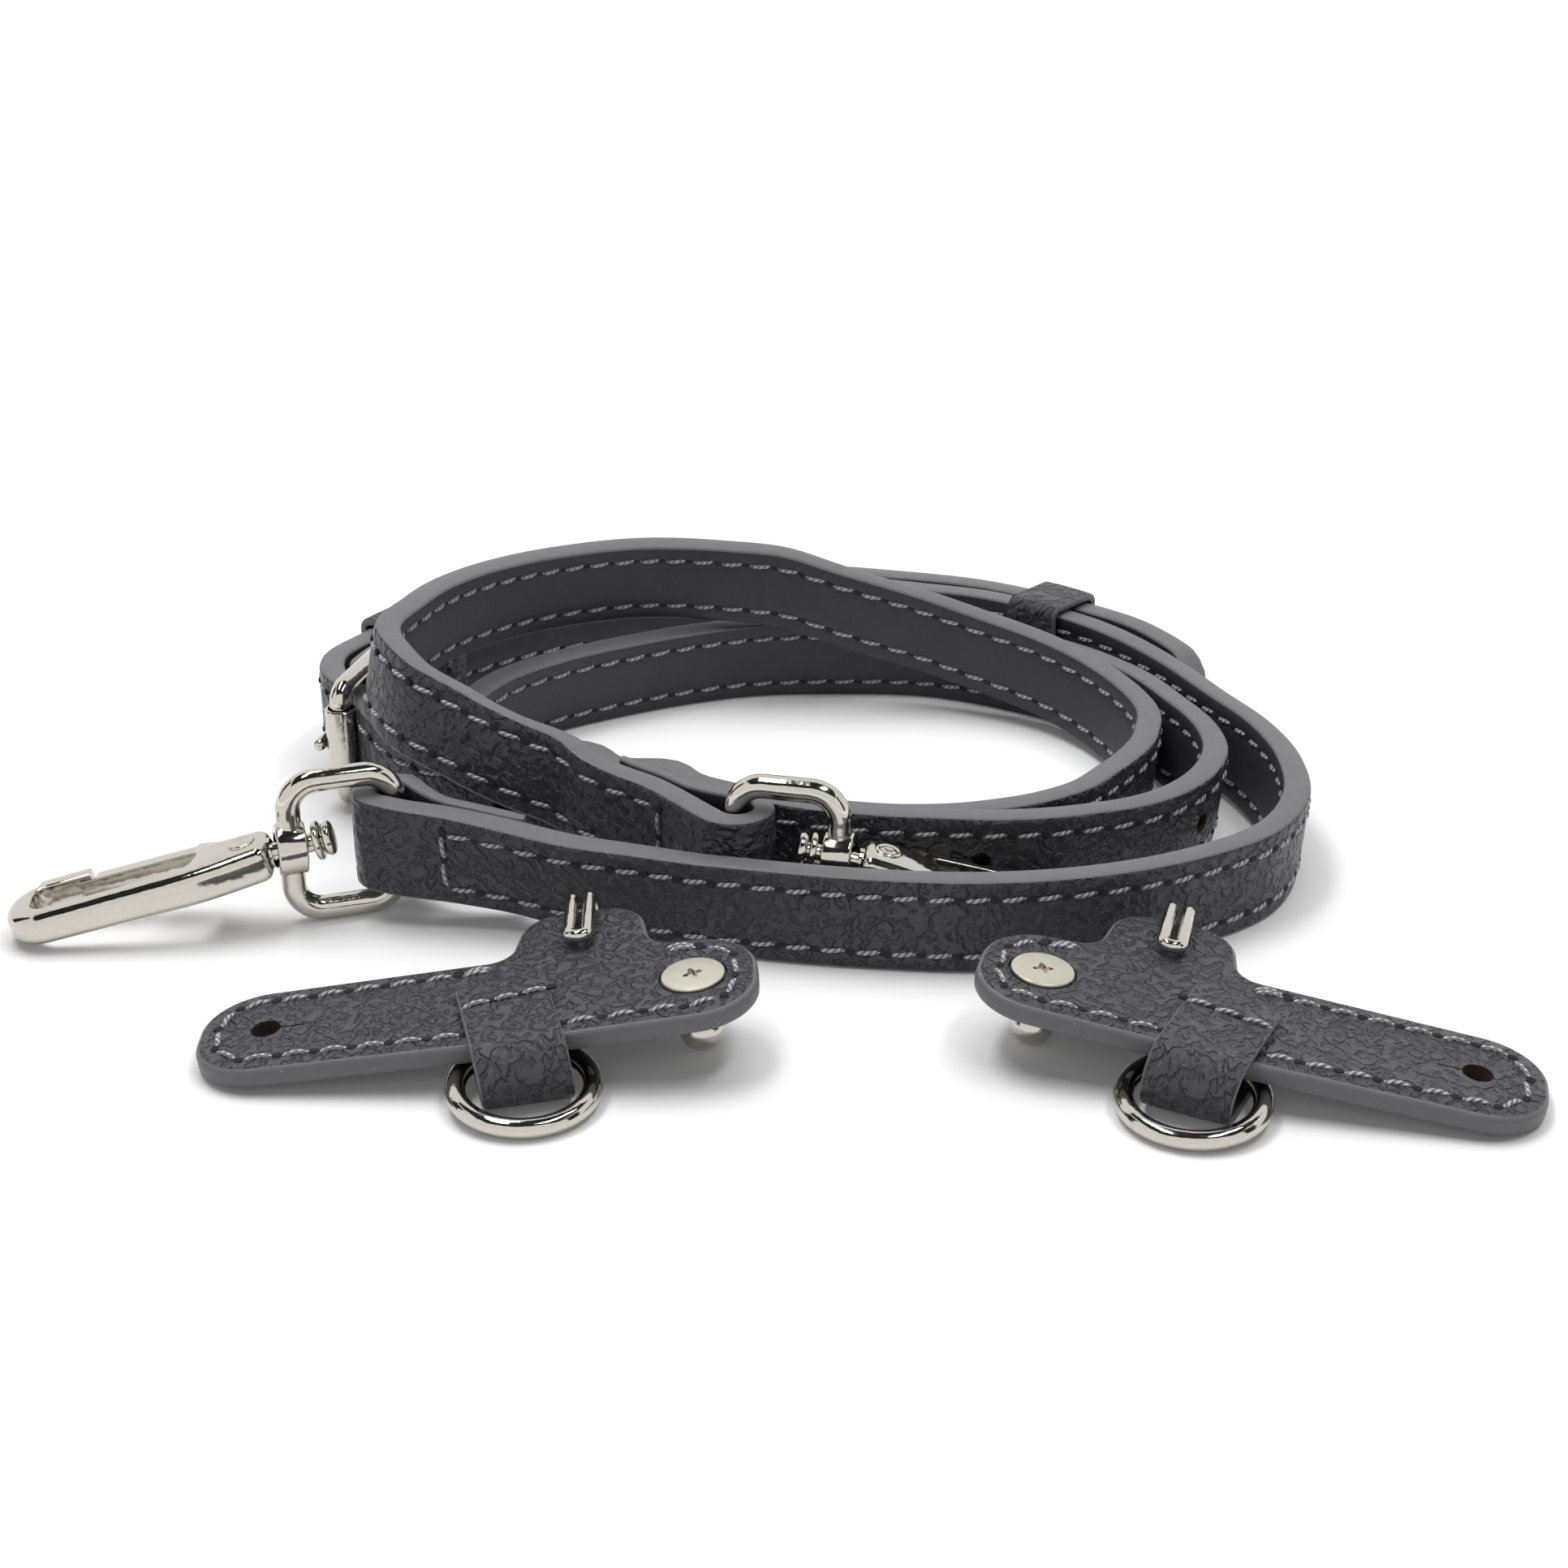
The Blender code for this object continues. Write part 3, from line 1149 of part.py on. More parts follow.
def main():
    global parts, cutters
    clear_scene()
    parts = new_collection("Detachable bag strap")
    cutters = new_collection("Cutters")
    bars = build_straps()
    for (name, hook), (bar, outward) in zip(HOOKS.items(), bars):
        ring_matrix = frame_of(bar, 0.0, direction(hook["ring_heading"]))
        build_ring(name + "_ring", ring_matrix)
        build_hook(name, ring_matrix, hook["hook_heading"], hook["swivel"])
    for name, tab in TABS.items():
        build_tab(name, tab)
    stand_on_origin()


main()
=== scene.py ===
"""Detachable bag strap, dressed: rounded leather, stitching, polished hardware and the studio."""
import math

import bmesh
import bpy
from mathutils import Matrix, Vector


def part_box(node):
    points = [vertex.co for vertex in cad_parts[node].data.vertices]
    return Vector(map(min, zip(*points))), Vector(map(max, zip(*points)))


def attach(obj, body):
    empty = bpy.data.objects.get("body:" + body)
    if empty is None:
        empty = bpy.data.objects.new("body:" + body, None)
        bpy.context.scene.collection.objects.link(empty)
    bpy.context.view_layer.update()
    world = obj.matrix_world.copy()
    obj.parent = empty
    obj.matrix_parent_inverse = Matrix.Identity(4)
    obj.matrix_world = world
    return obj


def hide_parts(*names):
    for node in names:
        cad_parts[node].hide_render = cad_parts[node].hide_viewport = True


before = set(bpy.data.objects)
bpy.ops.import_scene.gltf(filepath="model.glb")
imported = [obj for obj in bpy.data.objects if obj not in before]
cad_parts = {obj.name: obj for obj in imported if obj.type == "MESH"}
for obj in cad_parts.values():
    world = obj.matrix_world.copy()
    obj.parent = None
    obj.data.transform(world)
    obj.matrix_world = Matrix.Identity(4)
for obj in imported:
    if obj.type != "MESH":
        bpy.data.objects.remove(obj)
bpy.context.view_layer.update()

MM = 0.001

# Straps
SEAT_GAP = 0.3 * MM
LAYER_GAP = 0.4 * MM
STRAP_WIDTH = 12.0 * MM
STRAP_THICKNESS = 3.5 * MM
STATION_STEP = 1.6 * MM
FOLD_STEPS = 18
TAIL_LENGTH = 18.0 * MM
TAIL_CLOSING = 9.0 * MM
TAIL_THICKNESS = 1.7 * MM
FOLD_THINNING = 0.3
END_THINNING = 0.72
TIP_ROUNDING = 6.0 * MM
PUNCH_DIAMETER = 2.8 * MM
PUNCH_PITCH = 32.0 * MM
PUNCHES_TO_TIP = 2
PUNCHES_TO_COIL = 4
EDGE_ROUNDING = 0.55 * MM
EDGE_STEPS = 4
CHANNEL_DEPTH = 0.14 * MM
CHANNEL_HALF = 0.5 * MM
CROWN = 0.07 * MM

# Stitching
STITCH_PITCH = 4.2 * MM
STITCH_LENGTH = 3.15 * MM
THREAD = 0.6 * MM
NEEDLE_HOLE = 0.72 * MM
STITCH_ROW = 3.7 * MM
FOLD_STITCH = 10.5 * MM
TAIL_MARGIN = 1.6 * MM
TIP_STITCH = 3.4 * MM
TIP_SHARE = 0.45
TAB_STITCH_INSET = 2.5 * MM

# Coil, seen from above, as in the part's source: outline (angle, share of the coil radius),
# then along each strand the layers inside it, lift as a share of the width, lean in degrees.
COIL_RADIUS = 66.0 * MM
OUTLINE_SHARES = [
    (5, 0.876), (18, 0.838), (31, 0.812), (43, 0.788), (60, 0.787), (81, 0.805),
    (101, 0.825), (120, 0.842), (137, 0.864), (152, 0.898), (163, 0.925), (170, 0.939),
    (195, 0.957), (217.4, 0.978), (224, 0.892), (230, 0.830), (237, 0.785), (246, 0.746),
    (256, 0.732), (268, 0.745), (281, 0.787), (293, 0.851), (306, 0.929), (317, 0.993),
    (327, 1.040), (336, 1.036), (345, 0.997), (355, 0.939),
]
SHORT_LIFT_SHARES = [
    (217.4, 0.36, 0), (224, 0.29, -4), (230, 0.2, -8), (237, 0.1, -6), (246, 0.04, -3),
    (256, 0.0, 0), (281, 0.0, 0), (317, 0.0, 0), (336, 0.0, -4), (355, 0.0, -8),
    (378, 0.04, -5), (391, 0.11, 0), (403, 0.13, 0), (415, 0.11, 0), (430, 0.04, 0),
    (461, 0.08, 0), (480, 0.18, 0), (497, 0.25, 0), (512, 0.267, 0), (530, 0.267, 0),
]
TIP_SHARES = [
    (16, -1.08, 0.03, 0), (24, -1.32, 0.06, 0), (32, -1.36, 0.1, 0), (39, -1.22, 0.12, 0),
    (47, -1.08, 0.125, 0), (60, -1.03, 0.1, 0), (75, -1.03, 0.04, 0), (101, -1.03, 0.08, 0),
    (120, -1.03, 0.18, 0), (137, -1.03, 0.25, 0), (152, -1.03, 0.267, 0), (162, -1.03, 0.267, 0),
]
WINDING_SHARES = [
    (191.4, 1.85, 0.19, 0), (196, 2.6, 0.1, 0), (200.5, 3.9, 0.05, 0), (205.7, 5.9, 0.05, 0),
    (212.8, 7.4, 0.08, 0), (220.4, 6.85, 0.12, 0), (230, 5.35, 0.15, 0), (245, 4.45, 0.16, 0),
    (260, 4.05, 0.16, 0), (273, 3.85, 0.15, 0), (284.5, 4.05, 0.13, 0), (295, 4.38, 0.1, 0),
    (307, 4.5, 0.05, 0), (323, 4.25, 0, 0), (336, 3.3, 0, -3), (346, 2.42, 0, -6),
    (358, 1.85, 0, -7), (370, 1.55, 0, -6), (385, 1.7, 0, -3), (402, 2.15, 0, 0),
    (419, 2.95, 0, 2), (440, 4.3, 0, 4), (463, 4.95, 0, 6), (488, 5.1, 0, 8),
    (508, 4.7, 0, 9), (525, 4.15, 0, 11), (539, 4.15, 0, 11), (552, 5.3, 0, 8),
    (566, 9.0, 0, 4), (583, 8.5, 0, 0), (601, 6.1, 0, 0), (618, 5.2, 0, 0),
    (634, 5.02, 0, 0), (646, 5.18, 0, 0), (658, 5.5, 0, 0), (675, 6.0, 0, 0),
    (693, 6.2, 0, 0), (710, 4.4, 0, -4), (723, 2.95, 0.02, -5), (738, 2.75, 0.1, -2),
    (756, 3.2, 0.25, 2), (773, 4.1, 0.46, 4), (799, 5.75, 0.84, 5), (813, 5.85, 1.02, 6),
    (827, 5.5, 1.08, 8), (847, 4.15, 1.12, 10), (866, 3.55, 1.18, 10), (884, 3.25, 1.27, 9),
    (900, 2.65, 1.33, 9), (911, 1.85, 1.32, 11), (921, 2.65, 1.22, 13), (929.5, 4.55, 0.98, 12),
    (938, 5.55, 0.69, 8), (949, 4.0, 0.47, 4), (963, 2.8, 0.37, 0), (970, 2.0, 0.33, 0),
    (976, 1.22, 0.31, 0),
]

# Buckle and keepers
BUCKLE_WIRE = 2.8 * MM
BUCKLE_LENGTH = 16.7 * MM
BUCKLE_PLAY = 0.5 * MM
BUCKLE_HEIGHT = STRAP_WIDTH + 2 * (BUCKLE_WIRE + BUCKLE_PLAY)
BUCKLE_CORNER = 2.2 * MM
BUCKLE_HEADING = 77.0
ROLLER_DIAMETER = 4.2 * MM
ROLLER_WALL = 0.4 * MM
TONGUE_DIAMETER = 1.7 * MM
TONGUE_EYE_DIAMETER = 5.6 * MM
TONGUE_EYE_HEIGHT = 3.6 * MM
TONGUE_TIP = 0.4 * MM
TONGUE_PLAY = 0.6 * MM
PASSAGE_PLAY = 0.5 * MM
KEEPER_LENGTH = 8.5 * MM
KEEPER_THICKNESS = 1.1 * MM
KEEPER_CORNER = 1.3 * MM
KEEPER_PLAY = 0.5 * MM
FIXED_KEEPER_SETBACK = 14.2 * MM
SLIDING_KEEPER_ANGLE = 405.0

# Swivel hooks
RING_WIRE = 3.0 * MM
RING_PLAY = 1.1 * MM
RING_HEIGHT = STRAP_WIDTH + 2 * (RING_WIRE + RING_PLAY)
RING_REACH = 13.0 * MM
RING_CORNER = 3.6 * MM
RING_BEVEL = 0.12 * MM
COLLAR_DIAMETER = 6.6 * MM
COLLAR_LENGTH = 3.6 * MM
COLLAR_BORE = 4.4 * MM
POST_DIAMETER = 2.4 * MM
NECK_DIAMETER = 3.8 * MM
NECK_LENGTH = 0.2 * MM
SHOULDER_PLAY = 0.55 * MM
WASHER_DIAMETER = 5.0 * MM
WASHER_THICKNESS = 0.8 * MM
WASHER_PLAY = 1.3 * MM
CAP_DIAMETER = 4.4 * MM
CAP_LENGTH = 1.2 * MM
CAP_ROUNDING = CAP_LENGTH * 0.45
BODY_LENGTH = 33.0 * MM
BODY_WIDTH = 10.6 * MM
BODY_HEIGHT = 4.8 * MM
TIP_HEIGHT = 4.0 * MM
BLOCK_WIDTH = 6.8 * MM
BLOCK_LENGTH = 9.0 * MM
WALL_THICKNESS = 2.5 * MM
NOSE_LENGTH = 10.2 * MM
NOSE_LEDGE = 1.9 * MM
NOTCH_LENGTH = 1.9 * MM
TIP_THICKNESS = 3.2 * MM
BODY_BEVEL = 1.5 * MM
INNER_BEVEL = 0.35 * MM
GATE_ROUNDING = 0.9 * MM
GATE_BEVEL = 0.15 * MM
OUTER_BAND = 0.05 * MM
GATE_THICKNESS = 2.6 * MM
GATE_HEIGHT = 3.0 * MM
GATE_EYE = 3.8 * MM
GATE_PIN_SETBACK = 3.2 * MM
PIN_DIAMETER = 1.8 * MM
RIVET_DIAMETER = 3.4 * MM
RIVET_HEAD = 0.25 * MM
RIVET_DIP = RIVET_HEAD * 0.45
HOOKS = {
    "hook_a": {"ring_heading": 198.0, "hook_heading": 187.0, "swivel": 180.0},
    "hook_b": {"ring_heading": -13.0, "hook_heading": -1.0, "swivel": 0.0},
}

# Leather tabs
TAB_THICKNESS = 2.4 * MM
TAB_WIDTH = 18.4 * MM
TAB_END_WIDTH = 16.8 * MM
TAB_END_MARGIN = 7.7 * MM
TAB_STUD_DISTANCE = 48.0 * MM
TAB_STUD_MARGIN = 7.2 * MM
TAB_END_RADIUS = 7.4 * MM
TAB_ROUNDING = 0.7 * MM
TAB_ROUNDING_STEPS = 5
LOBE_WIDTH = 13.4 * MM
LOBE_REACH = 19.2 * MM
LOBE_DISTANCE = 34.9 * MM
LOBE_RADIUS = 5.2 * MM
LOBE_FILLET = 3.0 * MM
BUTTON_HOLE = 3.4 * MM
BUTTON_SLIT_LENGTH = 4.4 * MM
BUTTON_SLIT_WIDTH = 0.22 * MM
LOOP_WIDTH = 10.0 * MM
LOOP_THICKNESS = 0.9 * MM
LOOP_DISTANCE = 26.8 * MM
LOOP_REAR = 2.6 * MM
LOOP_FRONT = 14.0 * MM
LOOP_UNDER_REAR = 5.0 * MM
LOOP_SKEW = 12.0
LOOP_STITCH = 1.7 * MM
O_RING_DIAMETER = 17.2 * MM
O_RING_WIRE = 2.3 * MM
O_RING_PLAY = 0.4 * MM
O_RING_DROP = 0.4 * MM
O_RING_STEPS = 96
SCREW_HEAD = 7.2 * MM
SCREW_HEAD_THICKNESS = 0.7 * MM
SCREW_SINK = 0.3 * MM
SCREW_SHANK = 2.1 * MM
SCREW_REACH = 3.4 * MM
CROSS_LENGTH = 2.6 * MM
CROSS_WIDTH = 0.8 * MM
CROSS_DEPTH = 0.4 * MM
CROSS_TURN = 20.0
STUD_FLANGE = 5.8 * MM
STUD_FLANGE_THICKNESS = 0.8 * MM
STUD_NECK = 4.0 * MM
STUD_BALL = 5.0 * MM
STUD_DROP = 6.9 * MM
BALL_STEPS = 24
WIRE_DIAMETER = 1.55 * MM
WIRE_SPREAD = 3.6 * MM
WIRE_PROUD = 0.5 * MM
WIRE_UPPER = 8.8 * MM
WIRE_LOWER = 6.5 * MM
WIRE_END_SHARE = 0.8
BEND_STEPS = 16
LEFT_TAB_CLEARANCE = 6.7 * MM
RIGHT_TAB_CLEARANCE = 15.9 * MM
TABS = {
    "tab_left": {"x": -0.9 * COIL_RADIUS, "y": -COIL_RADIUS - LEFT_TAB_CLEARANCE,
                 "heading": 1.7, "roll": 1.0, "side": 1},
    "tab_right": {"x": 1.1 * COIL_RADIUS, "y": -COIL_RADIUS - RIGHT_TAB_CLEARANCE,
                  "heading": 165.3, "roll": 0.0, "side": -1},
}

# Camera, measured from the middle of the coil
CAMERA_PLACE = (-2.0 * MM, -311.0 * MM, 140.69 * MM)
CAMERA_PITCH = 24.23
LENS = 56.41
SENSOR_WIDTH = 36.0
AMBIENT = 0.16
FLOOR_HALF = 3.0
FLOOR_DROP = 0.05 * MM
GLOW_START = 130.0
GLOW_END = 520.0
ROUND = 48
WIRE_RESOLUTION = 6
WELD = 0.01 * MM
CLOSE = 0.02 * MM
STRAIGHT_HALF = 89.5
UP = Vector((0.0, 0.0, 1.0))
GRAIN, PAINT, LINING, BARE = range(4)


# Finishes

def feed(tree, target, value):
    """Give a socket a value or a link."""
    if isinstance(value, Number):
        value = value.socket
    if isinstance(value, bpy.types.NodeSocket):
        tree.links.new(value, target)
    else:
        target.default_value = value


def add_node(tree, kind, settings=None, sockets=None):
    """Any node, from its type, its settings and the values or links of its sockets."""
    node = tree.nodes.new(kind)
    for key, value in (settings or {}).items():
        setattr(node, key, value)
    for key, value in (sockets or {}).items():
        feed(tree, node.inputs[key], value)
    return node


class Number:
    """A shader socket that adds Math nodes when it is used in an expression."""

    def __init__(self, finish, socket):
        self.finish = finish
        self.socket = socket

    def _math(self, operation, first, second):
        node = self.finish.node("ShaderNodeMath", {"operation": operation}, {0: first, 1: second})
        return Number(self.finish, node.outputs[0])

    def __add__(self, other):
        return self._math("ADD", self, other)

    __radd__ = __add__

    def __mul__(self, other):
        return self._math("MULTIPLY", self, other)

    __rmul__ = __mul__

    def __sub__(self, other):
        return self._math("SUBTRACT", self, other)

    def __rsub__(self, other):
        return self._math("SUBTRACT", other, self)

    def sine(self):
        return self._math("SINE", self, 0.0)


class Finish:
    """A material under construction."""

    def __init__(self, name, colour, roughness, metallic=0.0, specular=0.5):
        self.material = bpy.data.materials.new(name)
        self.material.use_nodes = True
        self.tree = self.material.node_tree
        self.shader = self.tree.nodes["Principled BSDF"]
        self.set("Base Color", (*colour, 1.0))
        self.set("Roughness", roughness)
        self.set("Metallic", metallic)
        self.set("Specular IOR Level", specular)

    def node(self, kind, settings=None, sockets=None):
        return add_node(self.tree, kind, settings, sockets)

    def set(self, name, value):
        feed(self.tree, self.shader.inputs[name], value)

    def number(self, socket):
        return Number(self, socket)

    def millimetres(self, stretch=(1.0, 1.0, 1.0), source="Object"):
        """Object or UV coordinates counted in millimetres."""
        coordinates = self.node("ShaderNodeTexCoord").outputs[source]
        scale = tuple(1000.0 * value for value in stretch)
        return self.node("ShaderNodeMapping", None, {"Vector": coordinates, "Scale": scale}).outputs[0]

    def turned(self, place, degrees, stretch):
        """The place turned about Z and then drawn out."""
        level = self.node("ShaderNodeMapping", None,
                          {"Vector": place, "Rotation": (0.0, 0.0, math.radians(degrees))}).outputs[0]
        return self.node("ShaderNodeMapping", None, {"Vector": level, "Scale": stretch}).outputs[0]

    def noise(self, place, scale, detail=2.0, rough=0.5):
        node = self.node("ShaderNodeTexNoise", None,
                         {"Vector": place, "Scale": scale, "Detail": detail, "Roughness": rough})
        return self.number(node.outputs["Fac"])

    def warped(self, place, scale, reach):
        """The place pushed about by a coloured noise, so that cells lose their straight sides."""
        noise = self.node("ShaderNodeTexNoise", None, {"Vector": place, "Scale": scale, "Detail": 1.0})
        centred = self.node("ShaderNodeVectorMath", {"operation": "SUBTRACT"},
                            {0: noise.outputs["Color"], 1: (0.5, 0.5, 0.5)}).outputs[0]
        scaled = self.node("ShaderNodeVectorMath", {"operation": "SCALE"},
                           {0: centred, "Scale": reach}).outputs[0]
        return self.node("ShaderNodeVectorMath", {"operation": "ADD"}, {0: place, 1: scaled}).outputs[0]

    def creases(self, place, scale):
        """Distance to the borders of a cell pattern."""
        node = self.node("ShaderNodeTexVoronoi", {"feature": "DISTANCE_TO_EDGE"},
                         {"Vector": place, "Scale": scale})
        return self.number(node.outputs["Distance"])

    def eased(self, value, low, high):
        node = self.node("ShaderNodeMapRange", {"interpolation_type": "SMOOTHSTEP"},
                         {"Value": value, "From Min": low, "From Max": high})
        return self.number(node.outputs["Result"])

    def mixed(self, share, first, second):
        """Colour between two colours, of which the first may be a socket."""
        first = first if isinstance(first, bpy.types.NodeSocket) else (*first, 1.0)
        return self.node("ShaderNodeMix", {"data_type": "RGBA"},
                         {"Factor": share, 6: first, 7: (*second, 1.0)}).outputs[2]

    def bump(self, height, distance):
        node = self.node("ShaderNodeBump", None, {"Height": height, "Distance": distance, "Strength": 1.0})
        self.set("Normal", node.outputs["Normal"])


def grained_leather(name, cell=0.5, depth=0.42, shade=0.8):
    """Slate leather embossed with short creases that cross each other and fade in and out; the creases are
    also darkened in colour, painted shade in their valleys.
    """
    finish = Finish(name, (0.05, 0.05, 0.06), 0.4)
    place = finish.millimetres(source="UV")
    bent = finish.warped(place, 0.45, 1.1)
    patches = finish.noise(place, 0.22, 2.0)
    rising = finish.creases(finish.turned(bent, 38.0, (cell, cell * 0.45, 1.0)), 1.0)
    falling = finish.creases(finish.turned(bent, -47.0, (cell, cell * 0.4, 1.0)), 1.0)
    broken = finish.noise(place, 0.8, 2.0)
    first = (1.0 - finish.eased(rising, 0.0, 0.26)) * finish.eased(broken, 0.43, 0.58)
    second = (1.0 - finish.eased(falling, 0.0, 0.26)) * finish.eased(patches, 0.42, 0.6)
    crease = finish.eased(first + second, 0.0, 1.1)
    fine = finish.noise(place, 3.5, 3.0, 0.6)
    swell = finish.noise(place, 0.55, 2.0)
    height = swell * 1.1 + fine * 0.14 - crease
    # shade scales the colour: 0.8 on the straps is painted shade on their upright faces, 1.2 on the tabs is
    # painted light on their top faces.
    dark, pale = ([shade * share for share in tone] for tone in ((0.034, 0.034, 0.042), (0.05, 0.05, 0.061)))
    tone = finish.mixed(finish.noise(place, 0.5, 3.0), dark, pale)
    # Painted shade: the base colour is darkened along the creases, where shade falls in the valleys.
    finish.set("Base Color", finish.mixed(crease * 0.22, tone, (0.016, 0.016, 0.02)))
    finish.set("Roughness", 0.24 + fine * 0.2 + crease * 0.1)
    finish.bump(height, depth * MM)
    return finish.material


def lining_leather(name):
    """Smooth lining with faint cross wrinkles."""
    finish = Finish(name, (0.055, 0.055, 0.064), 0.5)
    place = finish.millimetres()
    wrinkles = finish.creases(finish.warped(finish.millimetres((1.0, 1.0, 0.35)), 0.8, 1.2), 0.8)
    fine = finish.noise(place, 7.0, 3.0, 0.6)
    fold = 1.0 - finish.eased(wrinkles, 0.0, 0.08)
    patches = finish.noise(place, 0.3, 2.0)
    finish.set("Base Color", finish.mixed(patches, (0.022, 0.022, 0.028), (0.034, 0.034, 0.042)))
    finish.set("Roughness", 0.46 + fine * 0.14)
    finish.bump(fine * 0.5 - fold * 0.35, 0.06 * MM)
    return finish.material


def painted_edge(name):
    """Edge paint, smooth and a little uneven, with a few pale specks."""
    finish = Finish(name, (0.2, 0.2, 0.205), 0.45)
    place = finish.millimetres()
    wave = finish.noise(place, 0.55, 2.0)
    fine = finish.noise(place, 4.0, 2.0)
    speck = finish.node("ShaderNodeTexVoronoi", None, {"Vector": place, "Scale": 0.33})
    dot = 1.0 - finish.eased(finish.number(speck.outputs["Distance"]), 0.03, 0.045)
    tone = finish.mixed(wave, (0.115, 0.115, 0.121), (0.152, 0.152, 0.16))
    finish.set("Base Color", finish.mixed(dot, tone, (0.3, 0.3, 0.3)))
    finish.set("Roughness", 0.4 + fine * 0.14)
    finish.bump(wave * 0.8 + fine * 0.15, 0.09 * MM)
    return finish.material


def bare_leather(name):
    """Cut fibres inside holes and slots."""
    finish = Finish(name, (0.05, 0.03, 0.02), 0.9)
    fibre = finish.noise(finish.millimetres((1.0, 1.0, 3.0)), 3.0, 4.0, 0.7)
    finish.set("Base Color", finish.mixed(fibre, (0.008, 0.007, 0.006), (0.07, 0.036, 0.02)))
    finish.bump(fibre, 0.2 * MM)
    return finish.material


def twisted_thread(name):
    """Two-ply thread: the plies wind along each stitch, and its colour is darkened between them and lightened
    on their crowns as painted shade and painted highlight.
    """
    finish = Finish(name, (0.3, 0.3, 0.31), 0.42)
    along, round_it = (
        finish.number(finish.node("ShaderNodeAttribute", {"attribute_name": title}).outputs["Fac"])
        for title in ("along_stitch", "round_stitch"))
    ply = ((along * 4.0 + round_it * 2.0) * math.tau).sine() * 0.5 + 0.5
    fuzz = finish.noise(finish.millimetres(), 9.0, 2.0)
    # Painted shade and painted highlight: dark in the grooves of the twist, pale on the crowns of the plies.
    finish.set("Base Color", finish.mixed(ply, (0.13, 0.13, 0.135), (0.62, 0.62, 0.63)))
    finish.set("Roughness", 0.34 + fuzz * 0.25)
    finish.bump(ply + fuzz * 0.3, 0.1 * MM)
    return finish.material


def needle_hole_shadow(name):
    """Near-black shadow of the holes at the ends of a stitch."""
    finish = Finish(name, (0.006, 0.006, 0.008), 0.8)
    shade = finish.noise(finish.millimetres(), 4.0)
    finish.set("Base Color", finish.mixed(shade, (0.003, 0.003, 0.004), (0.012, 0.012, 0.015)))
    return finish.material


def polished_nickel(name):
    """Warm polished plating with a slight polishing wave."""
    finish = Finish(name, (0.8, 0.77, 0.7), 0.1, 1.0)
    place = finish.millimetres()
    wave = finish.noise(place, 0.45, 2.0)
    haze = finish.noise(place, 1.6, 3.0, 0.6)
    finish.set("Base Color", finish.mixed(haze, (0.53, 0.5, 0.445), (0.64, 0.61, 0.545)))
    finish.set("Roughness", 0.05 + haze * 0.1)
    finish.bump(wave, 0.07 * MM)
    return finish.material


def satin_nickel(name):
    """Cream satin plating of the screw heads, finely brushed one way."""
    finish = Finish(name, (0.8, 0.77, 0.66), 0.4, 1.0)
    brushed = finish.noise(finish.millimetres((0.6, 9.0, 0.6)), 2.0, 2.0)
    stain = finish.noise(finish.millimetres(), 0.7, 3.0)
    finish.set("Base Color", finish.mixed(stain, (0.58, 0.55, 0.46), (0.7, 0.67, 0.57)))
    finish.set("Roughness", 0.34 + brushed * 0.14)
    finish.bump(brushed, 0.012 * MM)
    return finish.material


# Lit and shaded copies of one grain leather: darker on the straps as painted shade, lighter on the tabs as
# painted light.
LEATHER = [grained_leather("Strap grain leather"), painted_edge("Strap painted edge"),
           lining_leather("Strap lining leather"), bare_leather("Bare cut leather")]
TAB_LEATHER = [grained_leather("Tab grain leather", 0.62, 0.52, 1.2), painted_edge("Tab painted edge"),
               lining_leather("Tab lining leather"), bare_leather("Bare tab leather")]
THREAD_FINISH = twisted_thread("Twisted grey thread")
HOLE_SHADOW_FINISH = needle_hole_shadow("Needle hole shadow")
NICKEL = polished_nickel("Polished nickel")
SATIN = satin_nickel("Satin nickel screw head")


# Mesh helpers

def linked(name, data):
    """A new object in the scene."""
    item = bpy.data.objects.new(name, data)
    bpy.context.scene.collection.objects.link(item)
    return item


def placed(name, mesh, matrix, materials):
    """A working object that is turned into a finished piece by keep()."""
    item = linked(name, mesh)
    item.matrix_world = matrix
    for material in materials:
        mesh.materials.append(material)
    return item


def keep(item, body, nodes=(), angle=38.0):
    """Bake modifiers and place into a plain mesh at the origin, and give it to its body."""
    bpy.context.view_layer.update()
    evaluated = item.evaluated_get(bpy.context.evaluated_depsgraph_get())
    mesh = bpy.data.meshes.new_from_object(evaluated, preserve_all_data_layers=True,
                                           depsgraph=bpy.context.evaluated_depsgraph_get())
    mesh.transform(item.matrix_world)
    for index in reversed(range(len(mesh.materials))):
        if mesh.materials[index] is None:
            mesh.materials.pop(index=index)
    name = item.name.split(".")[0]
    bpy.data.objects.remove(item)
    mesh.shade_smooth()
    mesh.set_sharp_from_angle(angle=math.radians(angle))
    piece = linked(name + "_finished", mesh)
    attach(piece, body)
    if nodes:
        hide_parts(*nodes)


def discard(*items):
    for item in items:
        bpy.data.objects.remove(item)


def mesh_of(name, bm, recalculate=True):
    if recalculate:
        bmesh.ops.recalc_face_normals(bm, faces=bm.faces)
    mesh = bpy.data.meshes.new(name)
    bm.to_mesh(mesh)
    bm.free()
    return mesh


def cylinder(name, radius, length, sides=ROUND):
    bm = bmesh.new()
    bmesh.ops.create_cone(bm, cap_ends=True, segments=sides, radius1=radius, radius2=radius, depth=length)
    return mesh_of(name, bm)


def box(name, size, centre):
    bm = bmesh.new()
    bmesh.ops.create_cube(bm, size=1.0, matrix=Matrix.Translation(centre) @ Matrix.Diagonal((*size, 1.0)))
    return mesh_of(name, bm)


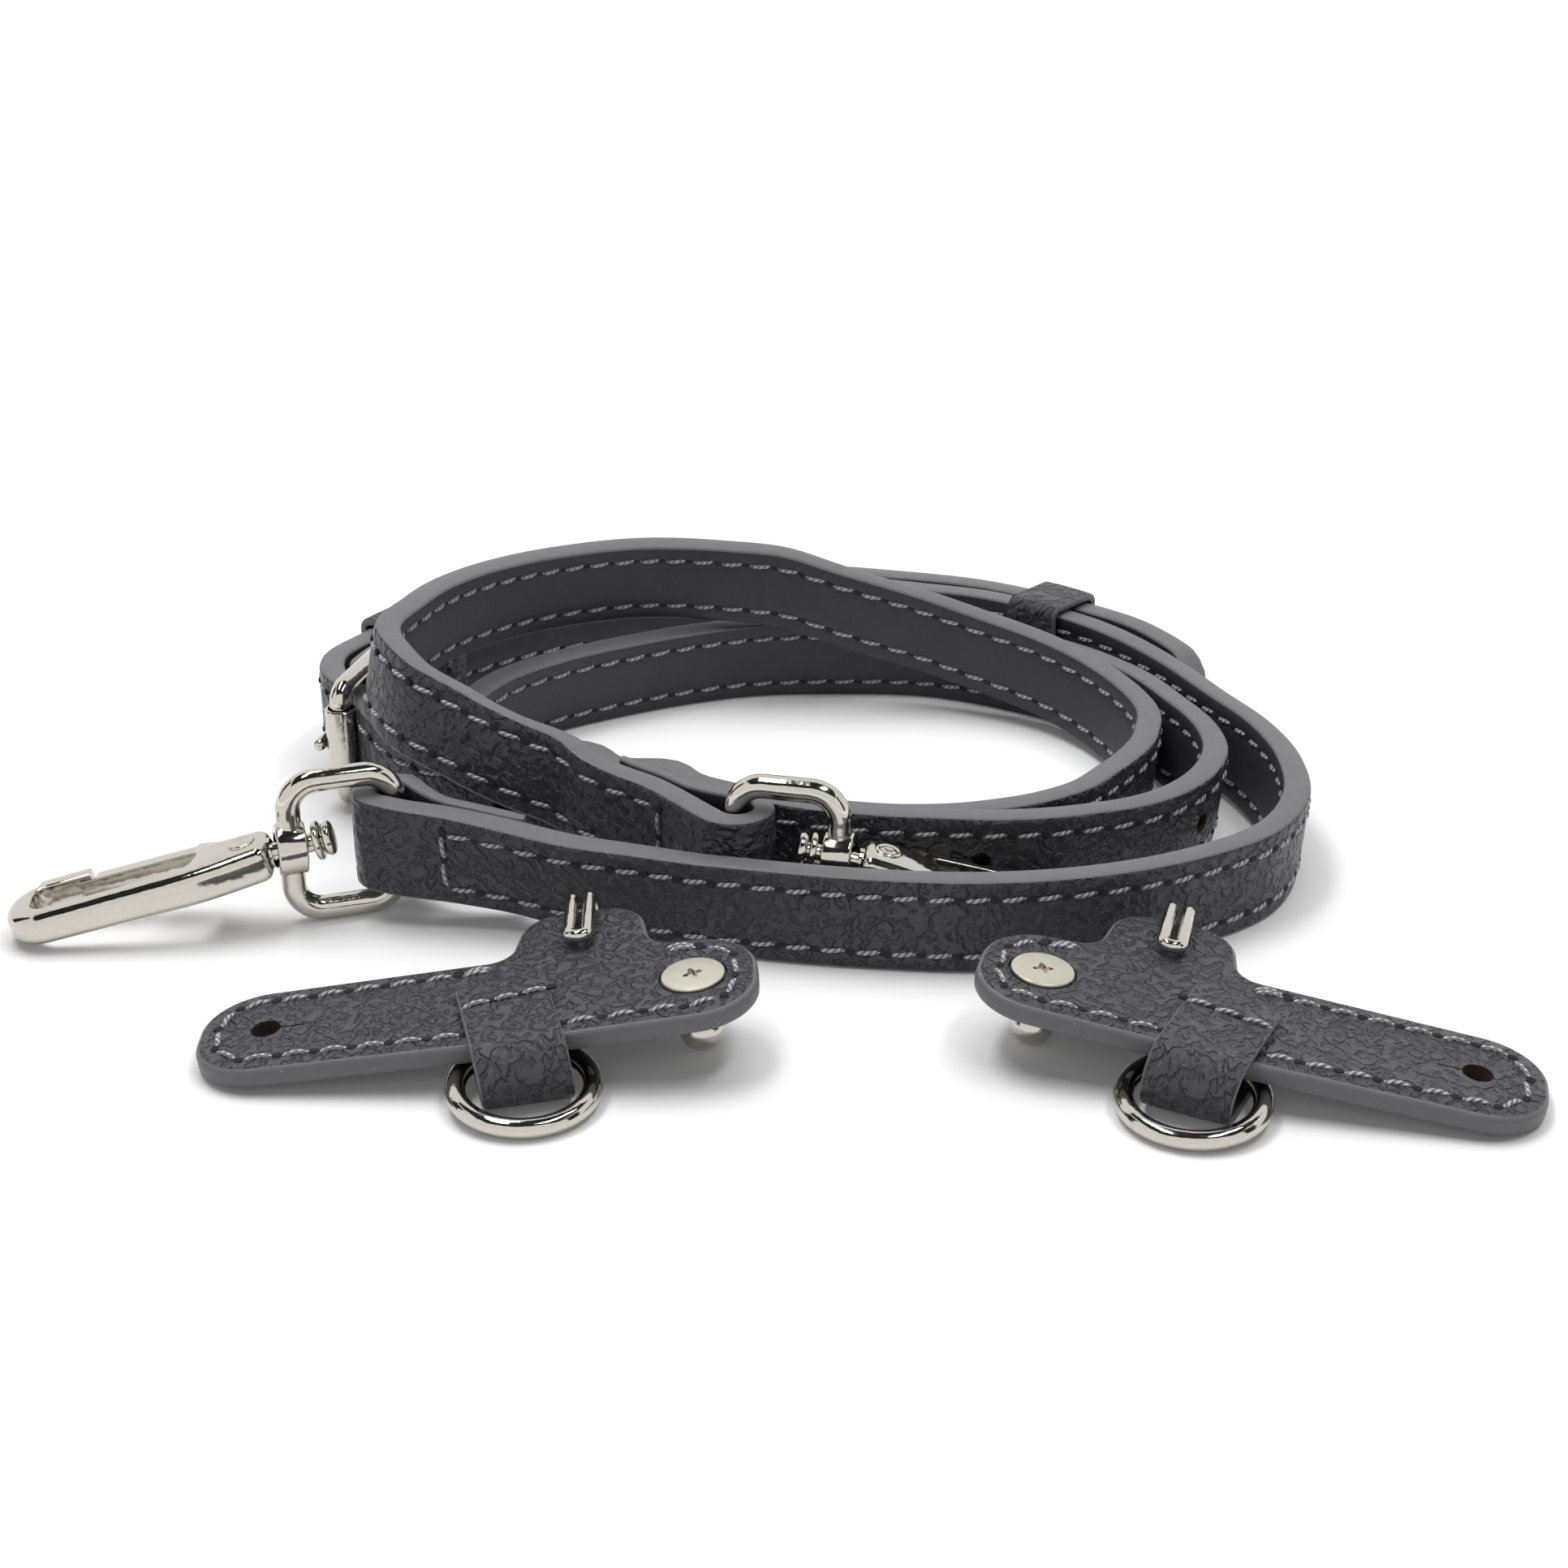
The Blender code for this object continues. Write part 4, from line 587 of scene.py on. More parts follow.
def turned(name, profile, steps=ROUND):
    """A (radius, height) profile turned about Z."""
    bm = bmesh.new()
    points = [bm.verts.new((radius, 0.0, height)) for radius, height in profile]
    for first, second in zip(points, points[1:]):
        bm.edges.new((first, second))
    bmesh.ops.spin(bm, geom=bm.verts[:] + bm.edges[:], cent=(0.0, 0.0, 0.0), axis=(0.0, 0.0, 1.0),
                   angle=math.tau, steps=steps)
    bmesh.ops.remove_doubles(bm, verts=bm.verts, dist=WELD)
    return mesh_of(name, bm)


def softened(profile, radius, steps=3):
    """Round the inner corners of an open (radius, height) profile."""
    corners = [(u, v, radius if 0 < index < len(profile) - 1 else 0)
               for index, (u, v) in enumerate(profile)]
    return [(point.x, point.y) for point in filleted(corners, closed=False, steps=steps)]


def wire(name, points, diameter, closed=False, taper=None):
    """A round wire along points, its ends capped; taper gives each point's share of the radius."""
    curve = bpy.data.curves.new(name, "CURVE")
    curve.dimensions = "3D"
    curve.bevel_depth = diameter / 2
    curve.bevel_resolution = WIRE_RESOLUTION
    curve.use_fill_caps = True
    spline = curve.splines.new("POLY")
    spline.points.add(len(points) - 1)
    for index, point in enumerate(points):
        spline.points[index].co = (*point, 1.0)
        spline.points[index].radius = taper[index] if taper else 1.0
    spline.use_cyclic_u = closed
    holder = linked(name, curve)
    bpy.context.view_layer.update()
    mesh = bpy.data.meshes.new_from_object(holder.evaluated_get(bpy.context.evaluated_depsgraph_get()))
    discard(holder)
    bm = bmesh.new()
    bm.from_mesh(mesh)
    bmesh.ops.remove_doubles(bm, verts=bm.verts, dist=WELD)
    bm.to_mesh(mesh)
    bm.free()
    return mesh


def lathed(name, profile, place, body, angle=38.0):
    """A finished nickel piece, turned from a profile."""
    keep(placed(name, turned(name, profile), place, [NICKEL]), body, [name], angle=angle)


def bent(name, points, diameter, place, body, closed=False, taper=None):
    """A finished nickel piece, bent from wire."""
    keep(placed(name, wire(name, points, diameter, closed, taper), place, [NICKEL]), body, [name])


def plate(name, outline, thickness):
    """A flat plate from one outline in the XY plane, centred on it."""
    bm = bmesh.new()
    face = bm.faces.new([bm.verts.new((x, y, -thickness / 2)) for x, y in outline])
    raised = bmesh.ops.extrude_face_region(bm, geom=[face])["geom"]
    bmesh.ops.translate(bm, verts=[v for v in raised if isinstance(v, bmesh.types.BMVert)],
                        vec=(0.0, 0.0, thickness))
    return mesh_of(name, bm)


def rounded_plate(name, outline, thickness, rounding, steps=5):
    """A plate whose rims are rounded by what rounding gives at each corner of the outline."""
    corners = []
    for x, y in outline:
        if not corners or (Vector((x, y)) - corners[-1]).length > WELD:
            corners.append(Vector((x, y)))
    if (corners[0] - corners[-1]).length < WELD:
        corners.pop()
    count = len(corners)
    bm = bmesh.new()
    rings = []
    for side, order in ((-1, range(steps, -1, -1)), (1, range(steps + 1))):
        for step in order:
            turn = math.pi / 2 * step / steps
            ring = []
            for index, corner in enumerate(corners):
                before = (corner - corners[index - 1]).normalized()
                after = (corners[(index + 1) % count] - corner).normalized()
                first, second = Vector((before.y, -before.x)), Vector((after.y, -after.x))
                reach = rounding(corner)
                moved = corner - (first + second) / (1 + first.dot(second)) * reach * (1 - math.cos(turn))
                ring.append(bm.verts.new((moved.x, moved.y,
                                          side * (thickness / 2 - reach * (1 - math.sin(turn))))))
            rings.append(ring)
    bm.faces.new(reversed(rings[0]))
    bm.faces.new(rings[-1])
    for lower, upper in zip(rings, rings[1:]):
        for index in range(count):
            following = (index + 1) % count
            bm.faces.new((lower[index], lower[following], upper[following], upper[index]))
    return mesh_of(name, bm)


def bevelled(item, width, segments=3, angle=40.0):
    """Round the edges of an object that are sharper than an angle."""
    modifier = item.modifiers.new("Rounded edges", "BEVEL")
    modifier.width = width
    modifier.segments = segments
    modifier.limit_method = "ANGLE"
    modifier.angle_limit = math.radians(angle)
    modifier.use_clamp_overlap = True


def combined(item, other, operation="DIFFERENCE"):
    """Cut another object out of this one, or join it on."""
    modifier = item.modifiers.new("Combined with " + other.name, "BOOLEAN")
    modifier.operation = operation
    modifier.solver = "EXACT"
    modifier.material_mode = "TRANSFER"
    modifier.object = other


def filleted(corners, closed=True, steps=10):
    """Points of a polygon in a plane whose corners (u, v, radius) are rounded."""
    points = []
    count = len(corners)
    for index, (u, v, radius) in enumerate(corners):
        corner = Vector((u, v))
        if not radius or (not closed and index in (0, count - 1)):
            points.append(corner)
            continue
        before = (Vector(corners[index - 1][:2]) - corner).normalized()
        after = (Vector(corners[(index + 1) % count][:2]) - corner).normalized()
        half = before.angle(after) / 2
        if half > math.radians(STRAIGHT_HALF):
            points.append(corner)
            continue
        reach = radius / math.tan(half)
        centre = corner + (before + after).normalized() * radius / math.sin(half)
        start = corner + before * reach - centre
        sweep = start.angle_signed(corner + after * reach - centre)
        for step in range(steps + 1):
            points.append(centre + Matrix.Rotation(-sweep * step / steps, 2) @ start)
    return points


def flowing(points, steps=8):
    """Smooth route through a few points."""
    spots = [Vector(point) for point in points]
    ends = [2 * spots[0] - spots[1]] + spots + [2 * spots[-1] - spots[-2]]
    route = []
    for index in range(1, len(ends) - 2):
        a, b, c, d = ends[index - 1:index + 3]
        for step in range(steps):
            t = step / steps
            route.append(0.5 * (2 * b + (c - a) * t + (2 * a - 5 * b + 4 * c - d) * t**2
                                + (3 * b - a - 3 * c + d) * t**3))
    return route + [spots[-1]]


# Routes of the straps

def smooth(rows, place, column):
    """Smooth curve through one column of a table whose first column rises."""
    last = len(rows) - 1
    index = 0
    while index < last - 1 and rows[index + 1][0] < place:
        index += 1

    def slope(first, second):
        return (rows[second][column] - rows[first][column]) / (rows[second][0] - rows[first][0])

    def tangent(at):
        if at == 0:
            return slope(0, 1)
        if at == last:
            return slope(last - 1, last)
        before = rows[at][0] - rows[at - 1][0]
        after = rows[at + 1][0] - rows[at][0]
        return (slope(at - 1, at) * after + slope(at, at + 1) * before) / (before + after)

    span = rows[index + 1][0] - rows[index][0]
    t = (place - rows[index][0]) / span
    first = rows[index][column]
    second = rows[index + 1][column]
    return (first * (2 * t**3 - 3 * t**2 + 1) + tangent(index) * span * (t**3 - 2 * t**2 + t)
            + second * (3 * t**2 - 2 * t**3) + tangent(index + 1) * span * (t**3 - t**2))


CLOSED_OUTLINE = [(angle + turn, share) for turn in (-360, 0, 360) for angle, share in OUTLINE_SHARES]
LAYER_PITCH = STRAP_THICKNESS + LAYER_GAP


def outline_radius(angle):
    return COIL_RADIUS * smooth(CLOSED_OUTLINE, angle % 360, 1)


def direction(degrees):
    return Vector((math.cos(math.radians(degrees)), math.sin(math.radians(degrees))))


def left_of(vector):
    return Vector((-vector.y, vector.x))


def row_through(point, lift_share, near_angle):
    angle = math.degrees(math.atan2(point.y, point.x))
    angle += 360 * round((near_angle - angle) / 360)
    return (angle, (outline_radius(angle) - point.length) / LAYER_PITCH, lift_share, 0)


def strand(rows, offset_column=1):
    """Evenly spaced stations (place, travel direction, lift, lean) along a strand."""
    samples = []
    first = rows[0][0]
    count = math.ceil((rows[-1][0] - first) * 2)
    for index in range(count + 1):
        angle = first + (rows[-1][0] - first) * index / count
        radius = outline_radius(angle)
        if offset_column:
            radius -= smooth(rows, angle, offset_column) * LAYER_PITCH
        lift = smooth(rows, angle, offset_column + 1) * STRAP_WIDTH
        samples.append((direction(angle) * radius, lift, smooth(rows, angle, offset_column + 2)))
    lengths = [0.0]
    for before, after in zip(samples, samples[1:]):
        lengths.append(lengths[-1] + (after[0] - before[0]).length)
    steps = math.ceil(lengths[-1] / STATION_STEP)
    stations = []
    at = 0
    for step in range(steps + 1):
        wanted = lengths[-1] * step / steps
        while at < len(lengths) - 2 and lengths[at + 1] < wanted:
            at += 1
        t = (wanted - lengths[at]) / (lengths[at + 1] - lengths[at])
        place = samples[at][0].lerp(samples[at + 1][0], t)
        travel = (samples[at + 1][0] - samples[at][0]).normalized()
        lift = samples[at][1] + (samples[at + 1][1] - samples[at][1]) * t
        lean = samples[at][2] + (samples[at + 1][2] - samples[at][2]) * t
        stations.append((place, travel, max(lift, 0.0), lean))
    return stations


def across(travel, lean):
    side = left_of(travel) * math.sin(math.radians(lean))
    return Vector((side.x, side.y, math.cos(math.radians(lean))))


def middle_height(lift, lean):
    tilt = abs(math.radians(lean))
    return lift + (STRAP_WIDTH * math.cos(tilt) + STRAP_THICKNESS * math.sin(tilt)) / 2


def band_row(station, shift=0.0, thickness=STRAP_THICKNESS):
    """Centre, width direction and thickness of the strap at a station."""
    place, travel, lift, lean = station
    place = place + left_of(travel) * shift
    return (Vector((place.x, place.y, middle_height(lift, lean))), across(travel, lean), thickness)


def folded_tail(stations, bar_radius):
    """Rows of the tail, from its end, and of the fold round a bar on the inner side."""
    place, travel, lift, lean = stations[0]
    inward = left_of(travel)
    if (place + inward * MM).length > place.length:
        inward = -inward
    bend = bar_radius + SEAT_GAP + STRAP_THICKNESS / 2
    bar = place + inward * bend
    outward = (place - stations[1][0]).normalized()
    height = middle_height(lift, lean)
    fold = []
    for step in range(1, FOLD_STEPS):
        turn = math.pi * step / FOLD_STEPS
        spot = bar + (outward * math.sin(turn) - inward * math.cos(turn)) * bend
        thickness = STRAP_THICKNESS * (1 - FOLD_THINNING * step / FOLD_STEPS)
        fold.append((Vector((spot.x, spot.y, height)), across(travel, lean), thickness))
    tail = []
    walked = 0.0
    rest = (STRAP_THICKNESS + TAIL_THICKNESS) / 2 + LAYER_GAP
    folded = STRAP_THICKNESS * (1 - FOLD_THINNING)
    for index, station in enumerate(stations):
        if index:
            walked += (station[0] - stations[index - 1][0]).length
        if walked > TAIL_LENGTH:
            break
        closing = min(walked / TAIL_CLOSING, 1.0)
        ease = closing * closing * (3 - 2 * closing)
        offset = 2 * bend + (rest - 2 * bend) * ease
        thickness = folded + (TAIL_THICKNESS - folded) * ease
        sign = 1 if left_of(station[1]).dot(inward) > 0 else -1
        tail.append(band_row(station, sign * offset, thickness))
    tail.reverse()
    fold.reverse()
    return tail, fold, bar


def turned_round(stations):
    return [(place, -travel, lift, -lean) for place, travel, lift, lean in reversed(stations)]


def station_at(stations, wanted):
    walked = 0.0
    for before, after in zip(stations, stations[1:]):
        step = (after[0] - before[0]).length
        if walked + step >= wanted:
            t = (wanted - walked) / step
            lift = before[2] + (after[2] - before[2]) * t
            lean = before[3] + (after[3] - before[3]) * t
            return (before[0].lerp(after[0], t), before[1].lerp(after[1], t).normalized(), lift, lean)
        walked += step
    return stations[-1]


def length_to(stations, place):
    walked = 0.0
    best = 0.0
    nearest = (stations[0][0] - place).length
    for before, after in zip(stations, stations[1:]):
        walked += (after[0] - before[0]).length
        gap = (after[0] - place).length
        if gap < nearest:
            nearest = gap
            best = walked
    return best


def frame_of(place, height, travel):
    """Matrix whose X runs along the travel, Y across it to the left and Z up."""
    side = left_of(travel)
    matrix = Matrix(((travel.x, side.x, 0.0), (travel.y, side.y, 0.0), (0.0, 0.0, 1.0))).to_4x4()
    matrix.translation = Vector((place.x, place.y, height))
    return matrix


SHORT_STATIONS = strand(SHORT_LIFT_SHARES, 0)
PIVOT = folded_tail(turned_round(SHORT_STATIONS), BUCKLE_WIRE / 2)[2]
BUCKLE_ALONG = -direction(BUCKLE_HEADING)
BUCKLE_OUT = left_of(BUCKLE_ALONG)
if (PIVOT + BUCKLE_OUT * MM).length < PIVOT.length:
    BUCKLE_OUT = -BUCKLE_OUT
ROLLER_PLACE = PIVOT + BUCKLE_ALONG * BUCKLE_LENGTH
roller_low, roller_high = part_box("buckle_roller")
HOME = Matrix.Translation((roller_low + roller_high) / 2
                          - Vector((ROLLER_PLACE.x, ROLLER_PLACE.y, BUCKLE_HEIGHT / 2)))
BUCKLE_FRAME = HOME @ frame_of(PIVOT, 0.0, BUCKLE_ALONG)
BUCKLE_CENTRE = BUCKLE_FRAME @ Matrix.Translation((0.0, 0.0, BUCKLE_HEIGHT / 2))
BUCKLE_SIDE = -1 if left_of(BUCKLE_ALONG).dot(BUCKLE_OUT) < 0 else 1


def long_strap_stations():
    """Tip, passage through the buckle and winding, as in the part's source."""
    fold = BUCKLE_WIRE / 2 + SEAT_GAP + STRAP_THICKNESS
    outside = fold + 2 * LAYER_GAP + STRAP_THICKNESS / 2
    inside = ROLLER_DIAMETER / 2 + PASSAGE_PLAY + STRAP_THICKNESS / 2
    lift_share = (BUCKLE_HEIGHT - STRAP_WIDTH) / 2 / STRAP_WIDTH
    slope = math.asin((outside + inside) / BUCKLE_LENGTH)
    normal = BUCKLE_ALONG * math.sin(slope) + BUCKLE_OUT * math.cos(slope)
    leave = PIVOT + normal * outside
    arrive = ROLLER_PLACE - normal * inside
    points = [PIVOT + BUCKLE_OUT * outside, leave, leave.lerp(arrive, 0.5), arrive,
              ROLLER_PLACE - BUCKLE_OUT * inside]
    return strand(TIP_SHARES + [row_through(point, lift_share, 180) for point in points] + WINDING_SHARES)


LONG_STATIONS = long_strap_stations()


# Leather bands

def face_heights(width, rounding, channel_at):
    """Across positions and heights of a face: sunk along the stitching, crowned between."""
    limit = width / 2 - rounding
    if channel_at:
        half = [(channel_at * 0.55, CROWN), (channel_at - CHANNEL_HALF, CROWN * 0.6),
                (channel_at, -CHANNEL_DEPTH), (channel_at + CHANNEL_HALF, CROWN * 0.3), (limit, 0.0)]
    else:
        half = [(limit * 0.4, CROWN), (limit, 0.0)]
    return [(-place, height) for place, height in reversed(half)] + half


def band_profile(width, thickness, rounding, channel_at):
    """Closed cross-section as (across, side share, raise, region of the next segment)."""
    turn = min(2 * rounding / thickness, 0.8)

    def rounded(side, way, step, region):
        angle = math.pi / 2 * step / EDGE_STEPS
        return ((width / 2 - rounding * (1 - math.sin(angle))) * side,
                way * (1 - turn * (1 - math.cos(angle))), 0.0, PAINT if step > 1 else region)

    profile = []
    for side, region, opposite in ((1, GRAIN, LINING), (-1, LINING, GRAIN)):
        profile += [(place * side, side, height * side, region)
                    for place, height in face_heights(width, rounding, channel_at)]
        profile += [rounded(side, side, step, region) for step in range(1, EDGE_STEPS)]
        profile += [(width / 2 * side, side * (1 - turn), 0.0, PAINT),
                    ((width / 2 + CROWN) * side, 0.0, 0.0, PAINT),
                    (width / 2 * side, -side * (1 - turn), 0.0, PAINT)]
        profile += [rounded(side, -side, step, opposite) for step in reversed(range(1, EDGE_STEPS))]
    return profile


def with_sides(rows, closed=False):
    """Rows as (centre, along, up, side, thickness)."""
    count = len(rows)
    result = []
    for index, (centre, up, thickness) in enumerate(rows):
        before = rows[index - 1][0] if closed or index else centre
        after = rows[(index + 1) % count][0] if closed or index < count - 1 else centre
        along = (after - before).normalized()
        result.append((centre, along, up, along.cross(up).normalized(), thickness))
    return result


def band(name, rows, width, materials, channel_at=None, closed=False, rounding=EDGE_ROUNDING,
         narrowing=None):
    """A leather band swept through rows; narrowing gives each row's share of the width."""
    thickest = max(row[2] for row in rows)
    profile = band_profile(width, thickest, rounding, channel_at)
    around = [0.0]
    for first, second in zip(profile, profile[1:] + profile[:1]):
        around.append(around[-1] + math.hypot(second[0] - first[0], (second[1] - first[1]) * thickest / 2))
    walked = [0.0]
    for first, second in zip(rows, rows[1:] + rows[:1]):
        walked.append(walked[-1] + (second[0] - first[0]).length)
    bm = bmesh.new()
    layer = bm.loops.layers.uv.new("UVMap")
    rings = []
    for index, (centre, _, up, side, thickness) in enumerate(with_sides(rows, closed)):
        share = narrowing[index] if narrowing else 1.0
        last = not closed and index in (0, len(rows) - 1)
        thin = thickness / 2 * (END_THINNING if last else 1.0)
        rings.append([bm.verts.new(centre + up * place * share
                                   + side * (depth * thin + height * thickness / thickest))
                      for place, depth, height, _ in profile])
    pairs = list(zip(rings, rings[1:]))
    if closed:
        pairs.append((rings[-1], rings[0]))
    size = len(profile)
    for row, (first, second) in enumerate(pairs):
        for index in range(size):
            following = (index + 1) % size
            face = bm.faces.new((first[index], first[following], second[following], second[index]))
            face.material_index = profile[index][3]
            spots = [(row, index), (row, index + 1), (row + 1, index + 1), (row + 1, index)]
            for loop, (along_at, around_at) in zip(face.loops, spots):
                loop[layer].uv = (walked[along_at], around[around_at])
    if not closed:
        for ring in (rings[0], rings[-1]):
            bm.faces.new(ring).material_index = PAINT
    return placed(name, mesh_of(name, bm), HOME, materials)


def cutter(name, mesh, matrix, finish):
    return placed(name, mesh, matrix, [finish])


# Stitching

def stitch_tree():
    """Geometry Nodes tree that puts a stitch and, as the painted shadow of its needle hole, a dark flattened
    ball on every point.
    """
    tree = bpy.data.node_groups.new("Stitching", "GeometryNodeTree")

    def offer(title, kind, way="INPUT"):
        return tree.interface.new_socket(title, in_out=way, socket_type="NodeSocket" + kind)

    def add(kind, settings=None, sockets=None):
        return add_node(tree, kind, settings, sockets).outputs[0]

    def times(value, factor):
        return add("ShaderNodeMath", {"operation": "MULTIPLY"}, {0: value, 1: factor})

    def vector(x, y, z):
        return add("ShaderNodeCombineXYZ", None, {0: x, 1: y, 2: z})

    def marked(shape, name):
        return add("GeometryNodeStoreNamedAttribute", {"data_type": "FLOAT", "domain": "POINT"},
                   {"Geometry": shape, "Name": name, "Value": factor})

    def stored(name):
        return add("GeometryNodeInputNamedAttribute", {"data_type": "FLOAT_VECTOR"}, {"Name": name})

    offer("Geometry", "Geometry")
    for title, value in (("Stitch length", STITCH_LENGTH), ("Thread diameter", THREAD),
                         ("Stitch pitch", STITCH_PITCH), ("Hole radius", NEEDLE_HOLE)):
        offer(title, "Float").default_value = value
    for title in ("Thread", "Needle hole"):
        offer(title, "Material")
    offer("Geometry", "Geometry", "OUTPUT")
    given = add_node(tree, "NodeGroupInput").outputs
    points, length, thread, pitch, hole, thread_finish, hole_finish = given[:7]
    factor = add_node(tree, "GeometryNodeSplineParameter").outputs["Factor"]
    sunk = times(thread, -0.55)
    arc = add("GeometryNodeCurveQuadraticBezier", None,
              {"Resolution": 5, "Start": vector(times(length, -0.5), times(thread, -0.3), sunk),
               "Middle": vector(0.0, 0.0, times(thread, 1.15)),
               "End": vector(times(length, 0.5), times(thread, 0.3), sunk)})
    circle = add("GeometryNodeCurvePrimitiveCircle", None, {"Resolution": 7, "Radius": times(thread, 0.5)})
    stitch = add("GeometryNodeCurveToMesh", None,
                 {"Curve": marked(arc, "along_stitch"), "Profile Curve": marked(circle, "round_stitch"),
                  "Fill Caps": True})
    # Painted shadow: a dark flattened ball stands for the shade inside each needle hole.
    ball = add("GeometryNodeMeshIcoSphere", None, {"Radius": 1.0, "Subdivisions": 1})
    hole_shadow_dimple = add("GeometryNodeTransform", None,
                 {"Geometry": ball, "Translation": vector(times(pitch, 0.5), 0.0, 0.0),
                  "Scale": vector(hole, times(hole, 0.75), times(hole, 0.42))})
    upright = add("FunctionNodeAlignRotationToVector", {"axis": "Z"}, {"Vector": stored("stitch_lift")})
    heading = add("FunctionNodeAlignRotationToVector", {"axis": "X", "pivot_axis": "Z"},
                  {"Rotation": upright, "Vector": stored("stitch_along")})
    joined = add_node(tree, "GeometryNodeJoinGeometry")
    for shape, finish in ((stitch, thread_finish), (hole_shadow_dimple, hole_finish)):
        spread = add("GeometryNodeInstanceOnPoints", None,
                     {"Points": points, "Instance": shape, "Rotation": heading})
        real = add("GeometryNodeRealizeInstances", None, {"Geometry": spread})
        finished = add("GeometryNodeSetMaterial", None, {"Geometry": real, "Material": finish})
        tree.links.new(finished, joined.inputs[0])
    add_node(tree, "NodeGroupOutput", None, {0: joined.outputs[0]})
    return tree


STITCHING = stitch_tree()


def stitched(name, points, body):
    """Stitches at (place, along, lift) points as one piece."""
    mesh = bpy.data.meshes.new(name)
    mesh.from_pydata([point[0] for point in points], [], [])
    for title, column in (("stitch_along", 1), ("stitch_lift", 2)):
        layer = mesh.attributes.new(title, "FLOAT_VECTOR", "POINT")
        layer.data.foreach_set("vector", [value for point in points for value in point[column]])
    item = placed(name, mesh, HOME, [THREAD_FINISH, HOLE_SHADOW_FINISH])
    modifier = item.modifiers.new("Stitching", "NODES")
    modifier.node_group = STITCHING
    finishes = {"Thread": THREAD_FINISH, "Needle hole": HOLE_SHADOW_FINISH}
    for socket in STITCHING.interface.items_tree:
        if socket.name in finishes:
            modifier[socket.identifier] = finishes[socket.name]
    keep(item, body)


def along_rows(rows, start, stop, pitch=STITCH_PITCH):
    """Rows interpolated at an even pitch between two distances from the first row."""
    sided = with_sides(rows)
    result = []
    walked = 0.0
    wanted = start
    for first, second in zip(sided, sided[1:]):
        step = (second[0] - first[0]).length
        while walked + step >= wanted and wanted <= stop:
            t = (wanted - walked) / step
            result.append([a.lerp(b, t) for a, b in zip(first[:4], second[:4])]
                          + [first[4] + (second[4] - first[4]) * t])
            wanted += pitch
        walked += step
    return result


def row_length(rows):
    return sum((second[0] - first[0]).length for first, second in zip(rows, rows[1:]))


def face_stitches(rows, start, stop, faces):
    """Two rows of stitches on the wanted faces of a strap (1 outside, -1 inside)."""
    points = []
    for centre, along, up, side, thickness in along_rows(rows, start, stop):
        for face in faces:
            for place in (-STITCH_ROW, STITCH_ROW):
                surface = centre + up * place + side * face * (thickness / 2 - CHANNEL_DEPTH)
                points.append((surface, along, side * face))
    return points


def cross_stitches(rows, distance, faces):
    """A short row of stitches across the strap."""
    points = []
    for centre, _, up, side, thickness in along_rows(rows, distance, distance + MM):
        for face in faces:
            for place in (-STITCH_ROW / 2, STITCH_ROW / 2):
                points.append((centre + up * place + side * face * (thickness / 2 + CROWN), up, side * face))
    return points


# Straps, buckle and keepers

def tip_narrowing(rows):
    """Each row's share of the width where the strap begins with a rounded tip."""
    shares = []
    walked = 0.0
    for index, row in enumerate(rows):
        if index:
            walked += (row[0] - rows[index - 1][0]).length
        share = min(walked / TIP_ROUNDING, 1.0)
        shares.append(max(math.sqrt(1 - (1 - share) ** 2), TIP_SHARE))
    return shares


def cut_openings(short, long):
    """Slot and tongue hole at the buckle, and the punched holes; returns their cutters."""
    reach = BUCKLE_WIRE / 2 + SEAT_GAP + STRAP_THICKNESS + MM
    back = TONGUE_EYE_DIAMETER / 2 + TONGUE_PLAY
    size = (reach + back, 2 * back, TONGUE_EYE_HEIGHT + 2 * TONGUE_PLAY)
    slot = cutter("slot", box("slot", size, ((reach - back) / 2, 0.0, 0.0)), BUCKLE_CENTRE, LEATHER[BARE])
    combined(short, slot)
    opening = wire("opening", tongue_route(BUCKLE_SIDE), TONGUE_DIAMETER + 2 * TONGUE_PLAY)
    cutters = [slot, cutter("hole", opening, BUCKLE_CENTRE, LEATHER[BARE])]
    combined(long, cutters[-1])
    tongue_at = length_to(LONG_STATIONS, PIVOT + BUCKLE_ALONG * BUCKLE_LENGTH / 2)
    for index in range(-PUNCHES_TO_TIP, PUNCHES_TO_COIL + 1):
        if index:
            place, travel, lift, lean = station_at(LONG_STATIONS, tongue_at + index * PUNCH_PITCH)
            through = across(travel, lean).cross(Vector((travel.x, travel.y, 0.0)))
            turn = through.to_track_quat("Z", "Y").to_matrix().to_4x4()
            turn.translation = Vector((place.x, place.y, middle_height(lift, lean)))
            mesh = cylinder("punch", PUNCH_DIAMETER / 2, STRAP_THICKNESS + MM, 32)
            cutters.append(cutter("punch", mesh, HOME @ turn, LEATHER[BARE]))
            combined(long, cutters[-1])
    return cutters


